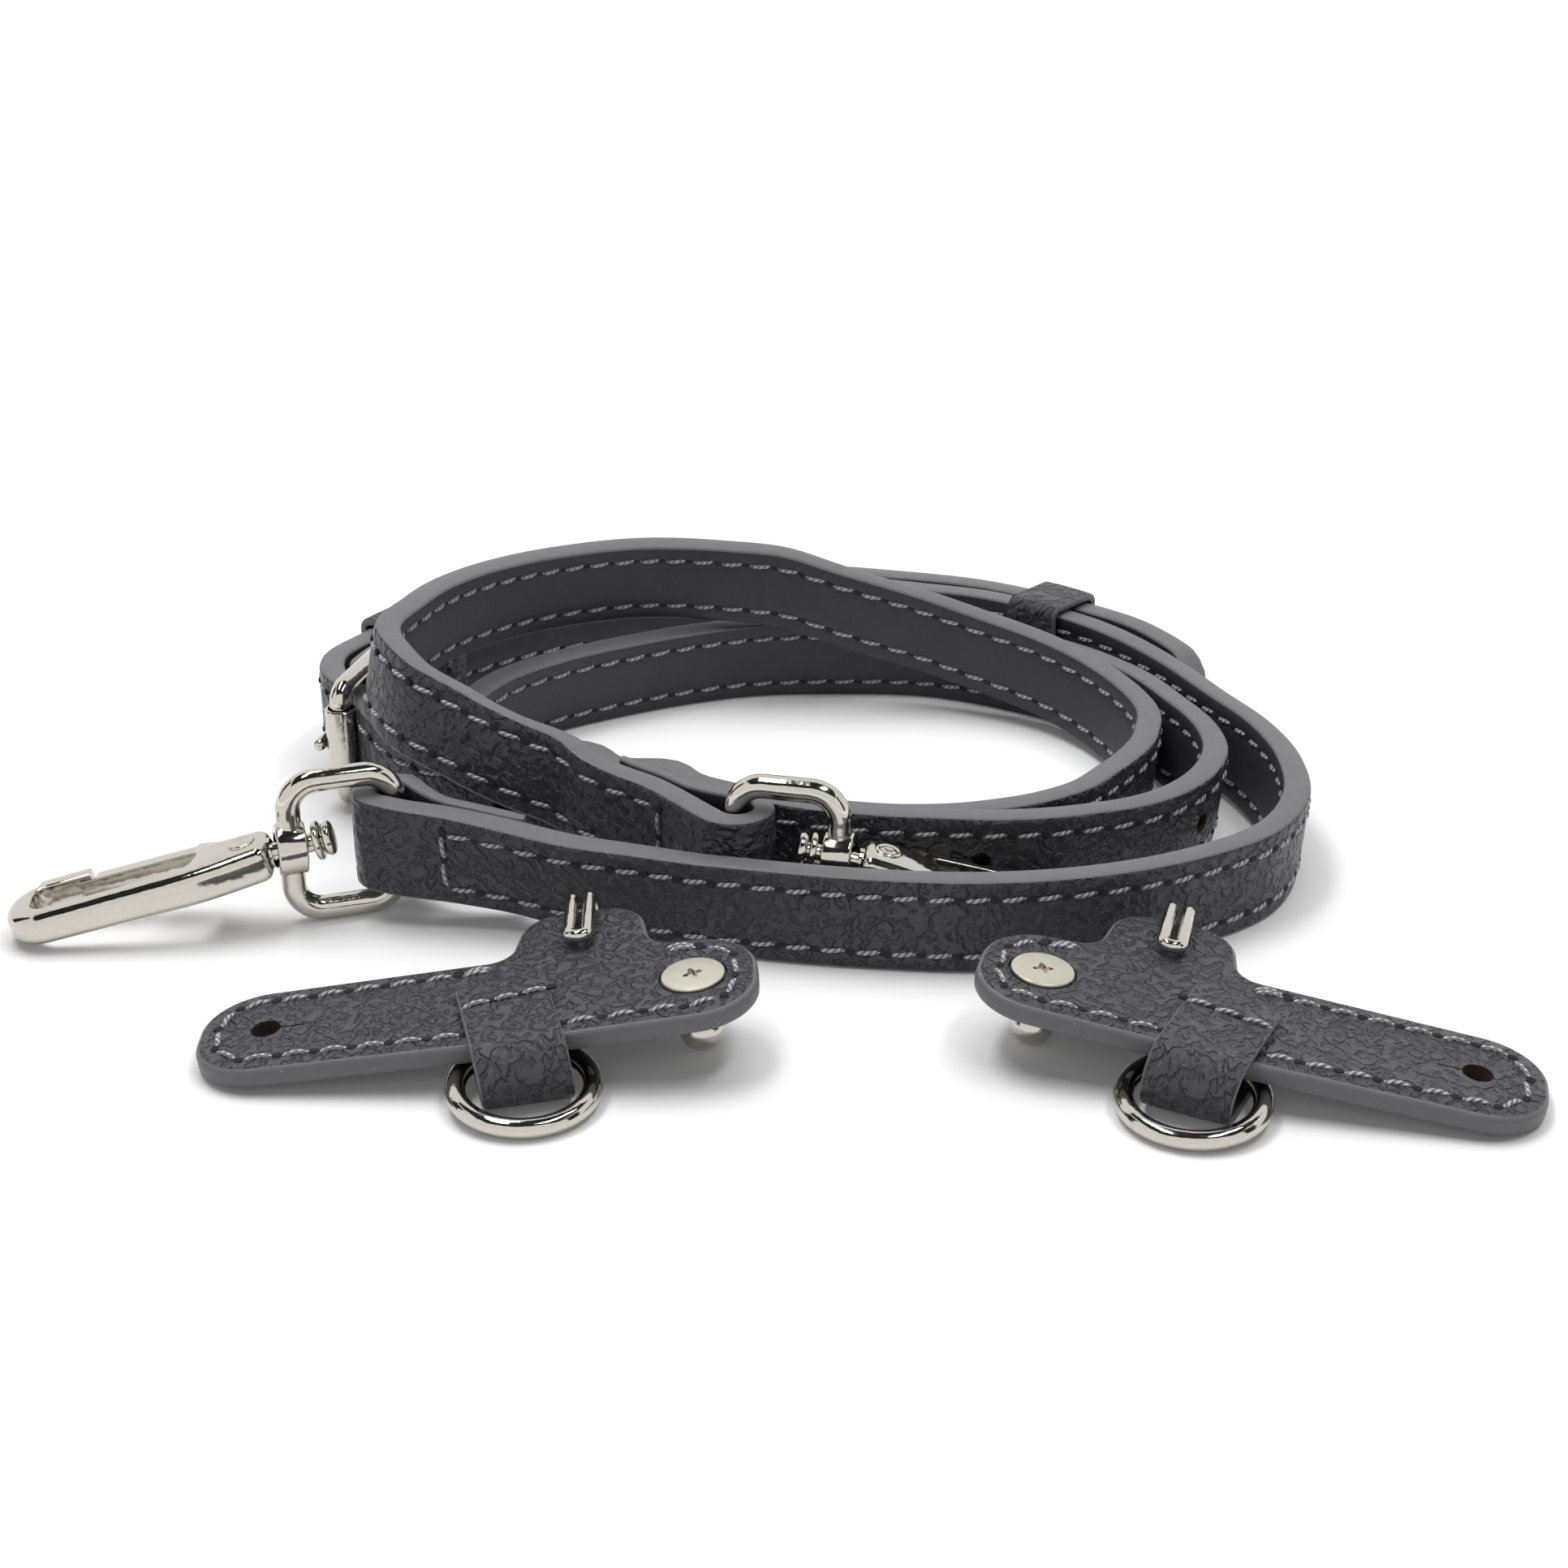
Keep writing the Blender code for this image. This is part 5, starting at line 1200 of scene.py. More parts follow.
def build_straps():
    """Both straps with their stitching; returns the places of the two hook bars."""
    tail_a, fold_a, bar_a = folded_tail(SHORT_STATIONS, RING_WIRE / 2)
    tail_p, fold_p = folded_tail(turned_round(SHORT_STATIONS), BUCKLE_WIRE / 2)[:2]
    tail_b, fold_b, bar_b = folded_tail(turned_round(LONG_STATIONS), RING_WIRE / 2)
    middle = [band_row(station) for station in SHORT_STATIONS]
    long_middle = [band_row(station) for station in LONG_STATIONS]
    rows = tail_a + fold_a + middle + fold_p[::-1] + tail_p[::-1]
    long_rows = long_middle + fold_b[::-1] + tail_b[::-1]
    short = band("short_strap", rows, STRAP_WIDTH, LEATHER, STITCH_ROW)
    long = band("long_strap", long_rows, STRAP_WIDTH, LEATHER, STITCH_ROW,
                narrowing=tip_narrowing(long_rows))
    cutters = cut_openings(short, long)
    keep(short, "straps", ["short_strap"])
    keep(long, "straps", ["long_strap"])
    discard(*cutters)

    cross_at = FOLD_STITCH - STITCH_PITCH / 2
    under_start = TAIL_LENGTH + TAIL_MARGIN
    tail_end = row_length(tail_a) - FOLD_STITCH
    length = row_length(middle)
    points = face_stitches(middle, FOLD_STITCH, length - FOLD_STITCH, (1,))
    points += face_stitches(middle, under_start, length - under_start, (-1,))
    points += face_stitches(tail_a, TAIL_MARGIN, tail_end, (1,))
    points += face_stitches(tail_p, TAIL_MARGIN, tail_end, (-1,))
    points += cross_stitches(middle, cross_at, (1,)) + cross_stitches(middle, length - cross_at, (1,))
    stitched("short_strap_stitching", points, "straps")

    length = row_length(long_middle)
    points = face_stitches(long_middle, TIP_ROUNDING, length - FOLD_STITCH, (1,))
    points += face_stitches(long_middle, TIP_ROUNDING, length - under_start, (-1,))
    points += face_stitches(tail_b, TAIL_MARGIN, tail_end, (-1,))
    points += cross_stitches(long_middle, length - cross_at, (1,))
    points += cross_stitches(long_middle, TIP_STITCH, (1, -1))
    stitched("long_strap_stitching", points, "straps")
    return bar_a, bar_b


def upright_points(length, height, corner, diameter):
    low = diameter / 2
    high = height - low
    corners = [(0.0, low, corner), (length, low, corner), (length, high, corner), (0.0, high, corner)]
    return [(point.x, 0.0, point.y) for point in filleted(corners, steps=12)]


def tongue_route(side):
    rest = side * (ROLLER_DIAMETER / 2 + SEAT_GAP + TONGUE_DIAMETER / 2)
    start = (TONGUE_EYE_DIAMETER - TONGUE_DIAMETER) / 2
    return flowing([(start, 0.0, 0.0), (BUCKLE_LENGTH * 0.4, rest * 0.35, 0.0),
                    (BUCKLE_LENGTH * 0.75, rest * 0.92, 0.0), (BUCKLE_LENGTH, rest, 0.0),
                    (BUCKLE_LENGTH + TONGUE_TIP, rest * 0.95, 0.0)])


def build_buckle():
    """Frame, roller and tongue."""
    points = upright_points(BUCKLE_LENGTH, BUCKLE_HEIGHT, BUCKLE_CORNER, BUCKLE_WIRE)
    bent("buckle_frame", points, BUCKLE_WIRE, BUCKLE_FRAME, "straps", True)

    outer = ROLLER_DIAMETER / 2
    bore = outer - ROLLER_WALL
    half = BUCKLE_HEIGHT / 2 - BUCKLE_WIRE / 2 - BUCKLE_CORNER - SEAT_GAP / 2
    lip = ROLLER_WALL / 3
    profile = [(outer, 0.0), (outer, half - lip), (outer - lip, half), (bore, half), (bore, -half),
               (outer - lip, -half), (outer, lip - half), (outer, 0.0)]
    place = BUCKLE_CENTRE @ Matrix.Translation((BUCKLE_LENGTH, 0.0, 0.0))
    lathed("buckle_roller", profile, place, "roller")

    route = tongue_route(BUCKLE_SIDE)
    taper = [1.0] * (len(route) - 3) + [0.93, 0.75, 0.4]
    tongue = placed("buckle_tongue", wire("buckle_tongue", route, TONGUE_DIAMETER, taper=taper),
                    BUCKLE_CENTRE, [NICKEL])
    eye_mesh = cylinder("eye", TONGUE_EYE_DIAMETER / 2, TONGUE_EYE_HEIGHT)
    eye = cutter("eye", eye_mesh, BUCKLE_CENTRE, NICKEL)
    bevelled(eye, SEAT_GAP)
    bore_mesh = cylinder("bore", BUCKLE_WIRE / 2 + SEAT_GAP, TONGUE_EYE_HEIGHT * 2)
    bore = cutter("bore", bore_mesh, BUCKLE_CENTRE, NICKEL)
    combined(tongue, eye, "UNION")
    combined(tongue, bore)
    keep(tongue, "tongue", ["buckle_tongue"])
    discard(eye, bore)


def build_keeper(name, station, outer_side, inner_side, body):
    """Leather loop round the strap layers, with stitches where its ends meet."""
    place, travel, lift, lean = station
    wall = KEEPER_THICKNESS
    low = outer_side - KEEPER_PLAY - wall / 2
    high = inner_side + KEEPER_PLAY + wall / 2
    top = STRAP_WIDTH / 2 + SEAT_GAP + wall / 2
    stand = Matrix(((0.0, 0.0, 1.0), (1.0, 0.0, 0.0), (0.0, 1.0, 0.0))).to_4x4()
    matrix = frame_of(place, middle_height(lift, lean), travel) @ stand
    corners = [(low, -top, KEEPER_CORNER), (high, -top, KEEPER_CORNER),
               (high, top, KEEPER_CORNER), (low, top, KEEPER_CORNER)]
    turn = matrix.to_3x3()
    rows = [(matrix @ Vector((point.x, point.y, 0.0)), turn @ UP, wall)
            for point in filleted(corners, steps=8)]
    keep(band(name, rows, KEEPER_LENGTH, LEATHER, closed=True, rounding=SEAT_GAP), body, [name])
    points = []
    for share in (-1, 1):
        for depth, away, lift_off in ((high + wall / 2, 1.0, 0.0), (low - wall / 2, -1.0, KEEPER_LENGTH / 4)):
            spot = matrix @ Vector((depth, share * STITCH_ROW / 2, lift_off))
            points.append((spot, UP, turn @ Vector((away, 0.0, 0.0))))
    stitched(name + "_stitching", points, body)


def build_keepers():
    half = STRAP_THICKNESS / 2
    outer = -LAYER_PITCH - half
    place, travel, lift, lean = station_at(turned_round(SHORT_STATIONS), FIXED_KEEPER_SETBACK)
    tail = half + LAYER_GAP + TAIL_THICKNESS
    build_keeper("fixed_keeper", (place, -travel, lift, -lean), outer, tail, "straps")
    spot = direction(SLIDING_KEEPER_ANGLE) * outline_radius(SLIDING_KEEPER_ANGLE)
    station = station_at(SHORT_STATIONS, length_to(SHORT_STATIONS, spot))
    build_keeper("sliding_keeper", station, outer - KEEPER_PLAY, half, "keeper")


# Swivel hooks

def body_outline():
    half = BODY_WIDTH / 2
    block = BLOCK_WIDTH / 2
    wall = -half + WALL_THICKNESS
    nose = BODY_LENGTH - NOSE_LENGTH
    ledge = half - NOSE_LEDGE
    throat = BODY_LENGTH - TIP_THICKNESS
    corner = BODY_BEVEL * 1.05
    return filleted([
        (0.0, -block, corner), (BLOCK_LENGTH, -half, BODY_LENGTH), (BODY_LENGTH, -half, half * 0.97),
        (BODY_LENGTH, half, half * 0.97), (nose, half, 0), (nose, ledge, 0),
        (throat, ledge, NOSE_LEDGE), (throat, wall, WALL_THICKNESS),
        (BLOCK_LENGTH + block / 3, wall, 0), (BLOCK_LENGTH, 0.0, 0), (BLOCK_LENGTH, block, corner),
        (0.0, block, corner)], steps=12)


def body_rounding(place):
    """Edge rounding of the hook body: small around the window that the gate closes."""
    window = (BLOCK_LENGTH - CLOSE < place.x < BODY_LENGTH - TIP_THICKNESS + CLOSE
              and WALL_THICKNESS - BODY_WIDTH / 2 - CLOSE < place.y)
    return INNER_BEVEL if window else BODY_BEVEL


def gate_rounding(place):
    """Edge rounding of the gate: wide on its outer side, small elsewhere."""
    return GATE_ROUNDING if place.y > BODY_WIDTH / 2 - OUTER_BAND else GATE_BEVEL


def gate_outline():
    half = BODY_WIDTH / 2
    eye = GATE_EYE / 2
    inner = half - GATE_THICKNESS
    nose = BODY_LENGTH - NOSE_LENGTH - GATE_PIN_SETBACK
    tip_side = half - NOSE_LEDGE - SEAT_GAP
    return filleted([
        (-eye, -eye, eye * 0.97), (eye * 1.2, -eye, eye * 0.6), (BLOCK_LENGTH - GATE_PIN_SETBACK, inner, eye),
        (nose + NOTCH_LENGTH - SEAT_GAP, inner, SEAT_GAP), (nose + NOTCH_LENGTH - SEAT_GAP, tip_side, 0),
        (nose - SEAT_GAP, tip_side, 0), (nose - SEAT_GAP, half, 0),
        (BLOCK_LENGTH - GATE_PIN_SETBACK + SEAT_GAP, half, eye), (-eye, eye * 1.2, eye * 0.97)], steps=8)


def height_share(x):
    """Height of the hook body at x as a share of its height at the block."""
    return 1 + (TIP_HEIGHT / BODY_HEIGHT - 1) * max(x, 0.0) / BODY_LENGTH


def build_ring(name, matrix):
    """Hook ring with its swivel collar."""
    points = upright_points(RING_REACH, RING_HEIGHT, RING_CORNER, RING_WIRE)
    ring = placed(name, wire(name, points, RING_WIRE, True), matrix, [NICKEL])
    centre = (matrix @ Matrix.Translation((RING_REACH, 0.0, RING_HEIGHT / 2))
              @ Matrix.Rotation(math.pi / 2, 4, "Y"))
    collar = cutter("collar", cylinder("collar", COLLAR_DIAMETER / 2, COLLAR_LENGTH), centre, NICKEL)
    bevelled(collar, SEAT_GAP)
    bore = cutter("bore", cylinder("bore", COLLAR_BORE / 2, 2 * COLLAR_LENGTH), centre, NICKEL)
    combined(ring, collar, "UNION")
    combined(ring, bore)
    bevelled(ring, RING_BEVEL, 2, 50.0)
    keep(ring, name, [name])
    discard(collar, bore)


def build_hook(name, ring_matrix, heading, swivel):
    """Body with its post, gate, gate pin and washer on the tilted swivel axis."""
    front = COLLAR_LENGTH / 2 + SHOULDER_PLAY
    slope = math.asin((RING_HEIGHT - TIP_HEIGHT) / 2 / (front + BODY_LENGTH))
    centre = ring_matrix @ Vector((RING_REACH, 0.0, RING_HEIGHT / 2))
    axis = (Matrix.Translation(centre) @ Matrix.Rotation(math.radians(heading), 4, "Z")
            @ Matrix.Rotation(slope, 4, "Y") @ Matrix.Rotation(math.radians(swivel), 4, "X"))
    pin_place = axis @ Matrix.Translation((front + GATE_PIN_SETBACK, 0.0, 0.0))

    mesh = rounded_plate(name + "_body", body_outline(), BODY_HEIGHT, body_rounding)
    for vertex in mesh.vertices:
        vertex.co.z *= height_share(vertex.co.x)
    body = placed(name + "_body", mesh, axis @ Matrix.Translation((front, 0.0, 0.0)), [NICKEL])
    cap_start = COLLAR_LENGTH / 2 + WASHER_PLAY + WASHER_THICKNESS + SEAT_GAP
    end = cap_start + CAP_LENGTH
    post, cap, neck = POST_DIAMETER / 2, CAP_DIAMETER / 2, NECK_DIAMETER / 2
    rim = softened([(0.0, end), (cap, end), (cap, cap_start), (post, cap_start)], CAP_ROUNDING)
    profile = rim + [(post, NECK_LENGTH - front), (neck, NECK_LENGTH - front),
                     (neck, -front - MM), (0.0, -front - MM)]
    shank = cutter("post", turned("post", profile), axis @ Matrix.Rotation(-math.pi / 2, 4, "Y"), NICKEL)
    eye = GATE_EYE / 2 + SEAT_GAP
    reach = BLOCK_LENGTH - GATE_PIN_SETBACK + MM
    slot_mesh = box("slot", (reach + eye, BODY_WIDTH, GATE_HEIGHT + 2 * SEAT_GAP),
                    ((reach - eye) / 2, BODY_WIDTH / 2 - eye, 0.0))
    slot = cutter("slot", slot_mesh, pin_place, NICKEL)
    bore = cutter("bore", cylinder("bore", PIN_DIAMETER / 2 + SEAT_GAP, 2 * BODY_HEIGHT), pin_place, NICKEL)
    combined(body, shank, "UNION")
    combined(body, slot)
    combined(body, bore)
    keep(body, name, [name + "_body"])

    gate_mesh = rounded_plate(name + "_gate", gate_outline(), GATE_HEIGHT, gate_rounding, 4)
    gate = placed(name + "_gate", gate_mesh, pin_place, [NICKEL])
    combined(gate, bore)
    keep(gate, name + "_gate", [name + "_gate"])
    discard(shank, slot, bore)

    seat = BODY_HEIGHT / 2 * height_share(GATE_PIN_SETBACK)
    head, shank_radius, top = RIVET_DIAMETER / 2, PIN_DIAMETER / 2, seat + RIVET_HEAD
    dip = RIVET_DIP
    upper = [(0.0, top - dip), (head * 0.18, top - dip), (head * 0.3, top - dip * 0.1),
             (head * 0.48, top - dip * 0.2), (head * 0.56, top - dip), (head * 0.66, top - dip),
             (head * 0.76, top), (head * 0.9, top - dip * 0.3), (head, seat + dip), (head, seat),
             (shank_radius, seat)]
    profile = upper + [(radius, -height) for radius, height in reversed(upper)]
    lathed(name + "_gate_pin", profile, pin_place, name, 60.0)

    outer, inner, half = WASHER_DIAMETER / 2, POST_DIAMETER / 2 + SEAT_GAP, WASHER_THICKNESS / 2
    lip = half * 0.7
    profile = [(outer, 0.0), (outer - lip * 0.3, half - lip * 0.3), (outer - lip, half), (inner, half),
               (inner, -half), (outer - lip, -half), (outer - lip * 0.3, lip * 0.3 - half), (outer, 0.0)]
    back = -COLLAR_LENGTH / 2 - WASHER_PLAY - WASHER_THICKNESS / 2
    place = axis @ Matrix.Translation((back, 0.0, 0.0)) @ Matrix.Rotation(math.pi / 2, 4, "Y")
    lathed(name + "_washer", profile, place, name, 60.0)


# Leather tabs

def tab_outline(side):
    end = TAB_STUD_DISTANCE + TAB_STUD_MARGIN
    half = TAB_WIDTH / 2
    end_half = TAB_END_WIDTH / 2
    left = LOBE_DISTANCE - LOBE_WIDTH / 2
    right = LOBE_DISTANCE + LOBE_WIDTH / 2
    flare = LOBE_FILLET / 2
    corners = [
        (-TAB_END_MARGIN, -end_half, TAB_END_RADIUS), (LOOP_DISTANCE, -half, TAB_STUD_DISTANCE),
        (end, -end_half, TAB_END_RADIUS), (end, end_half, TAB_END_RADIUS),
        (right + flare, half, LOBE_FILLET), (right, LOBE_REACH, LOBE_RADIUS),
        (left, LOBE_REACH, LOBE_RADIUS), (left - flare, half, LOBE_FILLET),
        (-TAB_END_MARGIN, end_half, TAB_END_RADIUS)]
    return filleted([(x, y * side, radius) for x, y, radius in corners], steps=12)


def inset(points, distance, side):
    """A closed outline moved inwards; side is 1 where it runs anticlockwise."""
    result = []
    count = len(points)
    for index, point in enumerate(points):
        travel = (points[(index + 1) % count] - points[index - 1]).normalized()
        result.append(point + left_of(travel) * distance * side)
    return result


def tab_leather(name, side, matrix):
    """Tab with rounded painted edges and a slightly crowned face."""
    outline = tab_outline(side)
    sections = []
    for step in range(TAB_ROUNDING_STEPS + 1):
        angle = math.pi / 2 * step / TAB_ROUNDING_STEPS
        sections.append((TAB_ROUNDING * (1 - math.sin(angle)), TAB_ROUNDING * (1 - math.cos(angle))))
    lower = [(TAB_ROUNDING * 3, 0.0)] + sections
    upper = [(deep, TAB_THICKNESS - height) for deep, height in reversed(lower)]
    upper[-1] = (upper[-1][0], TAB_THICKNESS + CROWN)
    bm = bmesh.new()
    rings = [[bm.verts.new((point.x, point.y, height)) for point in inset(outline, deep, side)]
             for deep, height in lower + upper]
    regions = [LINING] * 2 + [PAINT] * (2 * TAB_ROUNDING_STEPS - 1) + [GRAIN] * 2
    count = len(outline)
    for (first, second), region in zip(zip(rings, rings[1:]), regions):
        for index in range(count):
            following = (index + 1) % count
            face = bm.faces.new((first[index], first[following], second[following], second[index]))
            face.material_index = region
    bm.faces.new(rings[0]).material_index = LINING
    bm.faces.new(rings[-1]).material_index = GRAIN
    layer = bm.loops.layers.uv.new("UVMap")
    for face in bm.faces:
        for loop in face.loops:
            loop[layer].uv = loop.vert.co.xy
    item = placed(name + "_leather", mesh_of(name, bm), matrix, TAB_LEATHER)
    middle = matrix @ Matrix.Translation((0.0, 0.0, TAB_THICKNESS / 2))
    length = TAB_THICKNESS * 2
    stud_place = middle @ Matrix.Translation((TAB_STUD_DISTANCE, 0.0, 0.0))
    sink_place = matrix @ Matrix.Translation((TAB_STUD_DISTANCE, 0.0, TAB_THICKNESS))
    slit = box("slit", (BUTTON_SLIT_LENGTH, BUTTON_SLIT_WIDTH, length), (BUTTON_SLIT_LENGTH / 2, 0.0, 0.0))
    bare = TAB_LEATHER[BARE]
    tools = [cutter("hole", cylinder("hole", BUTTON_HOLE / 2, length), middle, bare),
             cutter("slit", slit, middle, bare),
             cutter("bore", cylinder("bore", SCREW_SHANK / 2 + SEAT_GAP, length), stud_place, bare),
             cutter("sink", cylinder("sink", SCREW_HEAD / 2 + SEAT_GAP, 2 * (SCREW_SINK + SEAT_GAP)),
                    sink_place, TAB_LEATHER[GRAIN])]
    for tool in tools:
        combined(item, tool)
    keep(item, name, [name + "_leather"])
    discard(*tools)


def loop_depths():
    """Heights of the loop's upper, lower and sewn layers and of the ring's bar."""
    upper = TAB_THICKNESS + SEAT_GAP + LOOP_THICKNESS / 2
    bar = -(SEAT_GAP + O_RING_DROP + O_RING_WIRE / 2)
    lower = bar - O_RING_WIRE / 2 - O_RING_PLAY - LOOP_THICKNESS / 2
    return upper, lower, -(SEAT_GAP + LOOP_THICKNESS / 2), bar


def loop_frame(side, base):
    """Matrix of the loop on its tab, and the turn that brings its lower end level."""
    place = Matrix.Translation((LOOP_DISTANCE, 0.0, 0.0)) @ Matrix.Rotation(
        math.radians(LOOP_SKEW) * side, 4, "Z")
    world = (base @ place).to_3x3()
    return place, math.atan2(world[2][0], world[2][2])


def tab_matrix(tab):
    """Place of a tab that rests on its end, its stud and its loop."""
    slope = math.asin(STUD_DROP / (TAB_STUD_DISTANCE + TAB_END_MARGIN))
    turn = (Matrix.Rotation(math.radians(tab["heading"]), 4, "Z") @ Matrix.Rotation(-slope, 4, "Y")
            @ Matrix.Rotation(math.radians(tab["roll"]) * tab["side"], 4, "X"))
    lower = loop_depths()[1] - LOOP_THICKNESS / 2
    feet = [Vector((-TAB_END_MARGIN, 0.0, 0.0)), Vector((0.0, -TAB_END_WIDTH / 2 * tab["side"], 0.0)),
            Vector((TAB_STUD_DISTANCE, 0.0, -STUD_DROP)),
            Vector((LOOP_DISTANCE, -LOOP_FRONT * 0.75 * tab["side"], lower))]
    lowest = min((turn @ foot).z for foot in feet)
    return Matrix.Translation((tab["x"], tab["y"], -lowest)) @ turn


def ring_loop(name, side, base):
    """Leather loop of the tab; returns the places of its stitches."""
    upper, lower, stitched_down = loop_depths()[:3]
    place, level = loop_frame(side, base)
    turn = (upper - lower) * 0.49
    profile = filleted([
        (LOOP_REAR, upper, 0), (-LOOP_FRONT, upper, turn), (-LOOP_FRONT, lower, turn),
        (-LOOP_REAR * 0.6, lower, O_RING_WIRE / 2), (LOOP_REAR, stitched_down, O_RING_WIRE / 2),
        (LOOP_UNDER_REAR, stitched_down, 0)], closed=False, steps=12)
    matrix = base @ place
    rows = []
    for point in profile:
        share = max((stitched_down - point.y) / (stitched_down - lower), 0.0)
        width_way = Vector((math.cos(level * share), 0.0, -math.sin(level * share))) * side
        rows.append((matrix @ Vector((0.0, point.x * side, point.y)), matrix.to_3x3() @ width_way,
                     LOOP_THICKNESS))
    item = band(name + "_ring_loop", rows, LOOP_WIDTH, TAB_LEATHER, rounding=SEAT_GAP)
    keep(item, name, [name + "_ring_loop"])
    up = matrix.to_3x3() @ UP
    sideways = matrix.to_3x3() @ Vector((1.0, 0.0, 0.0))
    points = []
    for step in (-1, 0, 1):
        spot = Vector((step * STITCH_PITCH * 0.76, -LOOP_STITCH * side, upper + LOOP_THICKNESS / 2))
        points.append((matrix @ spot, sideways, up))
    return points


def tab_stitches(side, base):
    """Stitching round the tab, left out at the lobe and under the loop."""
    end = TAB_STUD_DISTANCE + TAB_STUD_MARGIN - TAB_STITCH_INSET
    start = TAB_STITCH_INSET - TAB_END_MARGIN
    half = TAB_WIDTH / 2 - TAB_STITCH_INSET
    end_half = TAB_END_WIDTH / 2 - TAB_STITCH_INSET
    radius = TAB_END_RADIUS - TAB_STITCH_INSET
    loop_at = LOOP_DISTANCE + half * math.tan(math.radians(LOOP_SKEW))
    reach = LOOP_WIDTH / 2 + SEAT_GAP
    points = []
    turn = base.to_3x3()
    for hand, far in ((-1, start), (1, end)):
        lobe_end = LOBE_DISTANCE + hand * (LOBE_WIDTH / 2 + LOBE_FILLET)
        route = filleted([(lobe_end, half * side, 0), (far, end_half * side, radius),
                          (far, -end_half * side, radius), (loop_at + hand * reach, -half * side, 0)],
                         False, 16)
        rows = [(Vector((point.x, point.y, 0.0)), UP, 0.0) for point in route]
        length = row_length(rows)
        pitch = length / round(length / STITCH_PITCH)
        for centre, along, *_ in along_rows(rows, pitch / 2, length, pitch):
            for height, way in ((TAB_THICKNESS + CROWN / 2, 1.0), (0.0, -1.0)):
                spot = base @ Vector((centre.x, centre.y, height))
                points.append((spot, turn @ along, turn @ Vector((0.0, 0.0, way))))
        second = rows[0][0] + (rows[1][0] - rows[0][0]).normalized() * STITCH_PITCH * 0.45
        points.append((base @ Vector((second.x, second.y + THREAD * side, TAB_THICKNESS + CROWN)),
                       turn @ (rows[1][0] - rows[0][0]).normalized(), turn @ UP))
    return points


def build_tab(name, tab):
    """Tab leather, loop, stitching, round ring and hardware."""
    side = tab["side"]
    base = tab_matrix(tab)
    home = HOME @ base
    tab_leather(name, side, home)
    points = ring_loop(name, side, base)
    points += tab_stitches(side, base)
    stitched(name + "_stitching", points, name)

    place, level = loop_frame(side, base)
    forward = LOOP_REAR + O_RING_WIRE / 4
    bar = (place @ Matrix.Translation((0.0, -forward * side, loop_depths()[3]))
           @ Matrix.Rotation(level, 4, "Y"))
    middle_diameter = O_RING_DIAMETER - O_RING_WIRE
    world = base @ bar
    front = (world.to_3x3() @ Vector((0.0, -side, 0.0))).normalized()
    fall = math.asin((world.translation.z - O_RING_WIRE / 2) / middle_diameter) + math.asin(front.z)
    ring_place = (home @ bar @ Matrix.Rotation(fall * side, 4, "X")
                  @ Matrix.Translation((0.0, -middle_diameter / 2 * side, 0.0)))
    circle = [(middle_diameter / 2 * math.cos(math.tau * step / O_RING_STEPS),
               middle_diameter / 2 * math.sin(math.tau * step / O_RING_STEPS), 0.0)
              for step in range(O_RING_STEPS)]
    bent(name + "_ring", circle, O_RING_WIRE, ring_place, name + "_ring", True)
    build_screw(name, home)
    build_stud(name, home)
    build_wire_hook(name, side, home)


def build_screw(name, home):
    """Screw with a cross recess in its head."""
    seat = TAB_THICKNESS - SCREW_SINK
    top = seat + SCREW_HEAD_THICKNESS
    head, shank = SCREW_HEAD / 2, SCREW_SHANK / 2
    rim = softened([(0.0, top), (head, top), (head, seat), (shank, seat)], SCREW_HEAD_THICKNESS * 0.3)
    profile = rim + [(shank, -SCREW_REACH), (0.0, -SCREW_REACH)]
    place = home @ Matrix.Translation((TAB_STUD_DISTANCE, 0.0, 0.0))
    screw = placed(name + "_screw", turned(name + "_screw", profile, 64), place, [SATIN])
    arm, waist = CROSS_LENGTH / 2, CROSS_WIDTH / 2
    star = []
    for quarter in range(4):
        turn = Matrix.Rotation(math.pi / 2 * quarter + math.radians(CROSS_TURN), 2)
        star += [turn @ Vector((waist, -waist)), turn @ Vector((arm * 0.8, -waist * 0.6)),
                 turn @ Vector((arm, 0.0)), turn @ Vector((arm * 0.8, waist * 0.6))]
    depth = CROSS_DEPTH + MM
    recess = cutter("recess", plate("recess", star, depth),
                    place @ Matrix.Translation((0.0, 0.0, top - CROSS_DEPTH + depth / 2)), NICKEL)
    combined(screw, recess)
    keep(screw, name, [name + "_screw"])
    discard(recess)


def build_stud(name, home):
    """Ball stud that takes the screw."""
    flange, neck, ball = STUD_FLANGE / 2, STUD_NECK / 2, STUD_BALL / 2
    bore = SCREW_SHANK / 2 + SEAT_GAP
    bore_end = -SCREW_REACH - SEAT_GAP
    centre = -STUD_DROP + ball
    under = -SEAT_GAP - STUD_FLANGE_THICKNESS
    profile = softened([(0.0, bore_end), (bore, bore_end), (bore, -SEAT_GAP), (flange, -SEAT_GAP),
                        (flange, under), (neck, under)], SEAT_GAP * 0.6)
    start = math.asin(neck * 0.92 / ball)
    for step in range(BALL_STEPS + 1):
        angle = start + (math.pi - start) * step / BALL_STEPS
        radius = ball * math.sin(angle) if step < BALL_STEPS else 0.0
        profile.append((radius, centre + ball * math.cos(angle)))
    place = home @ Matrix.Translation((TAB_STUD_DISTANCE, 0.0, 0.0))
    lathed(name + "_stud", profile, place, name, 50.0)


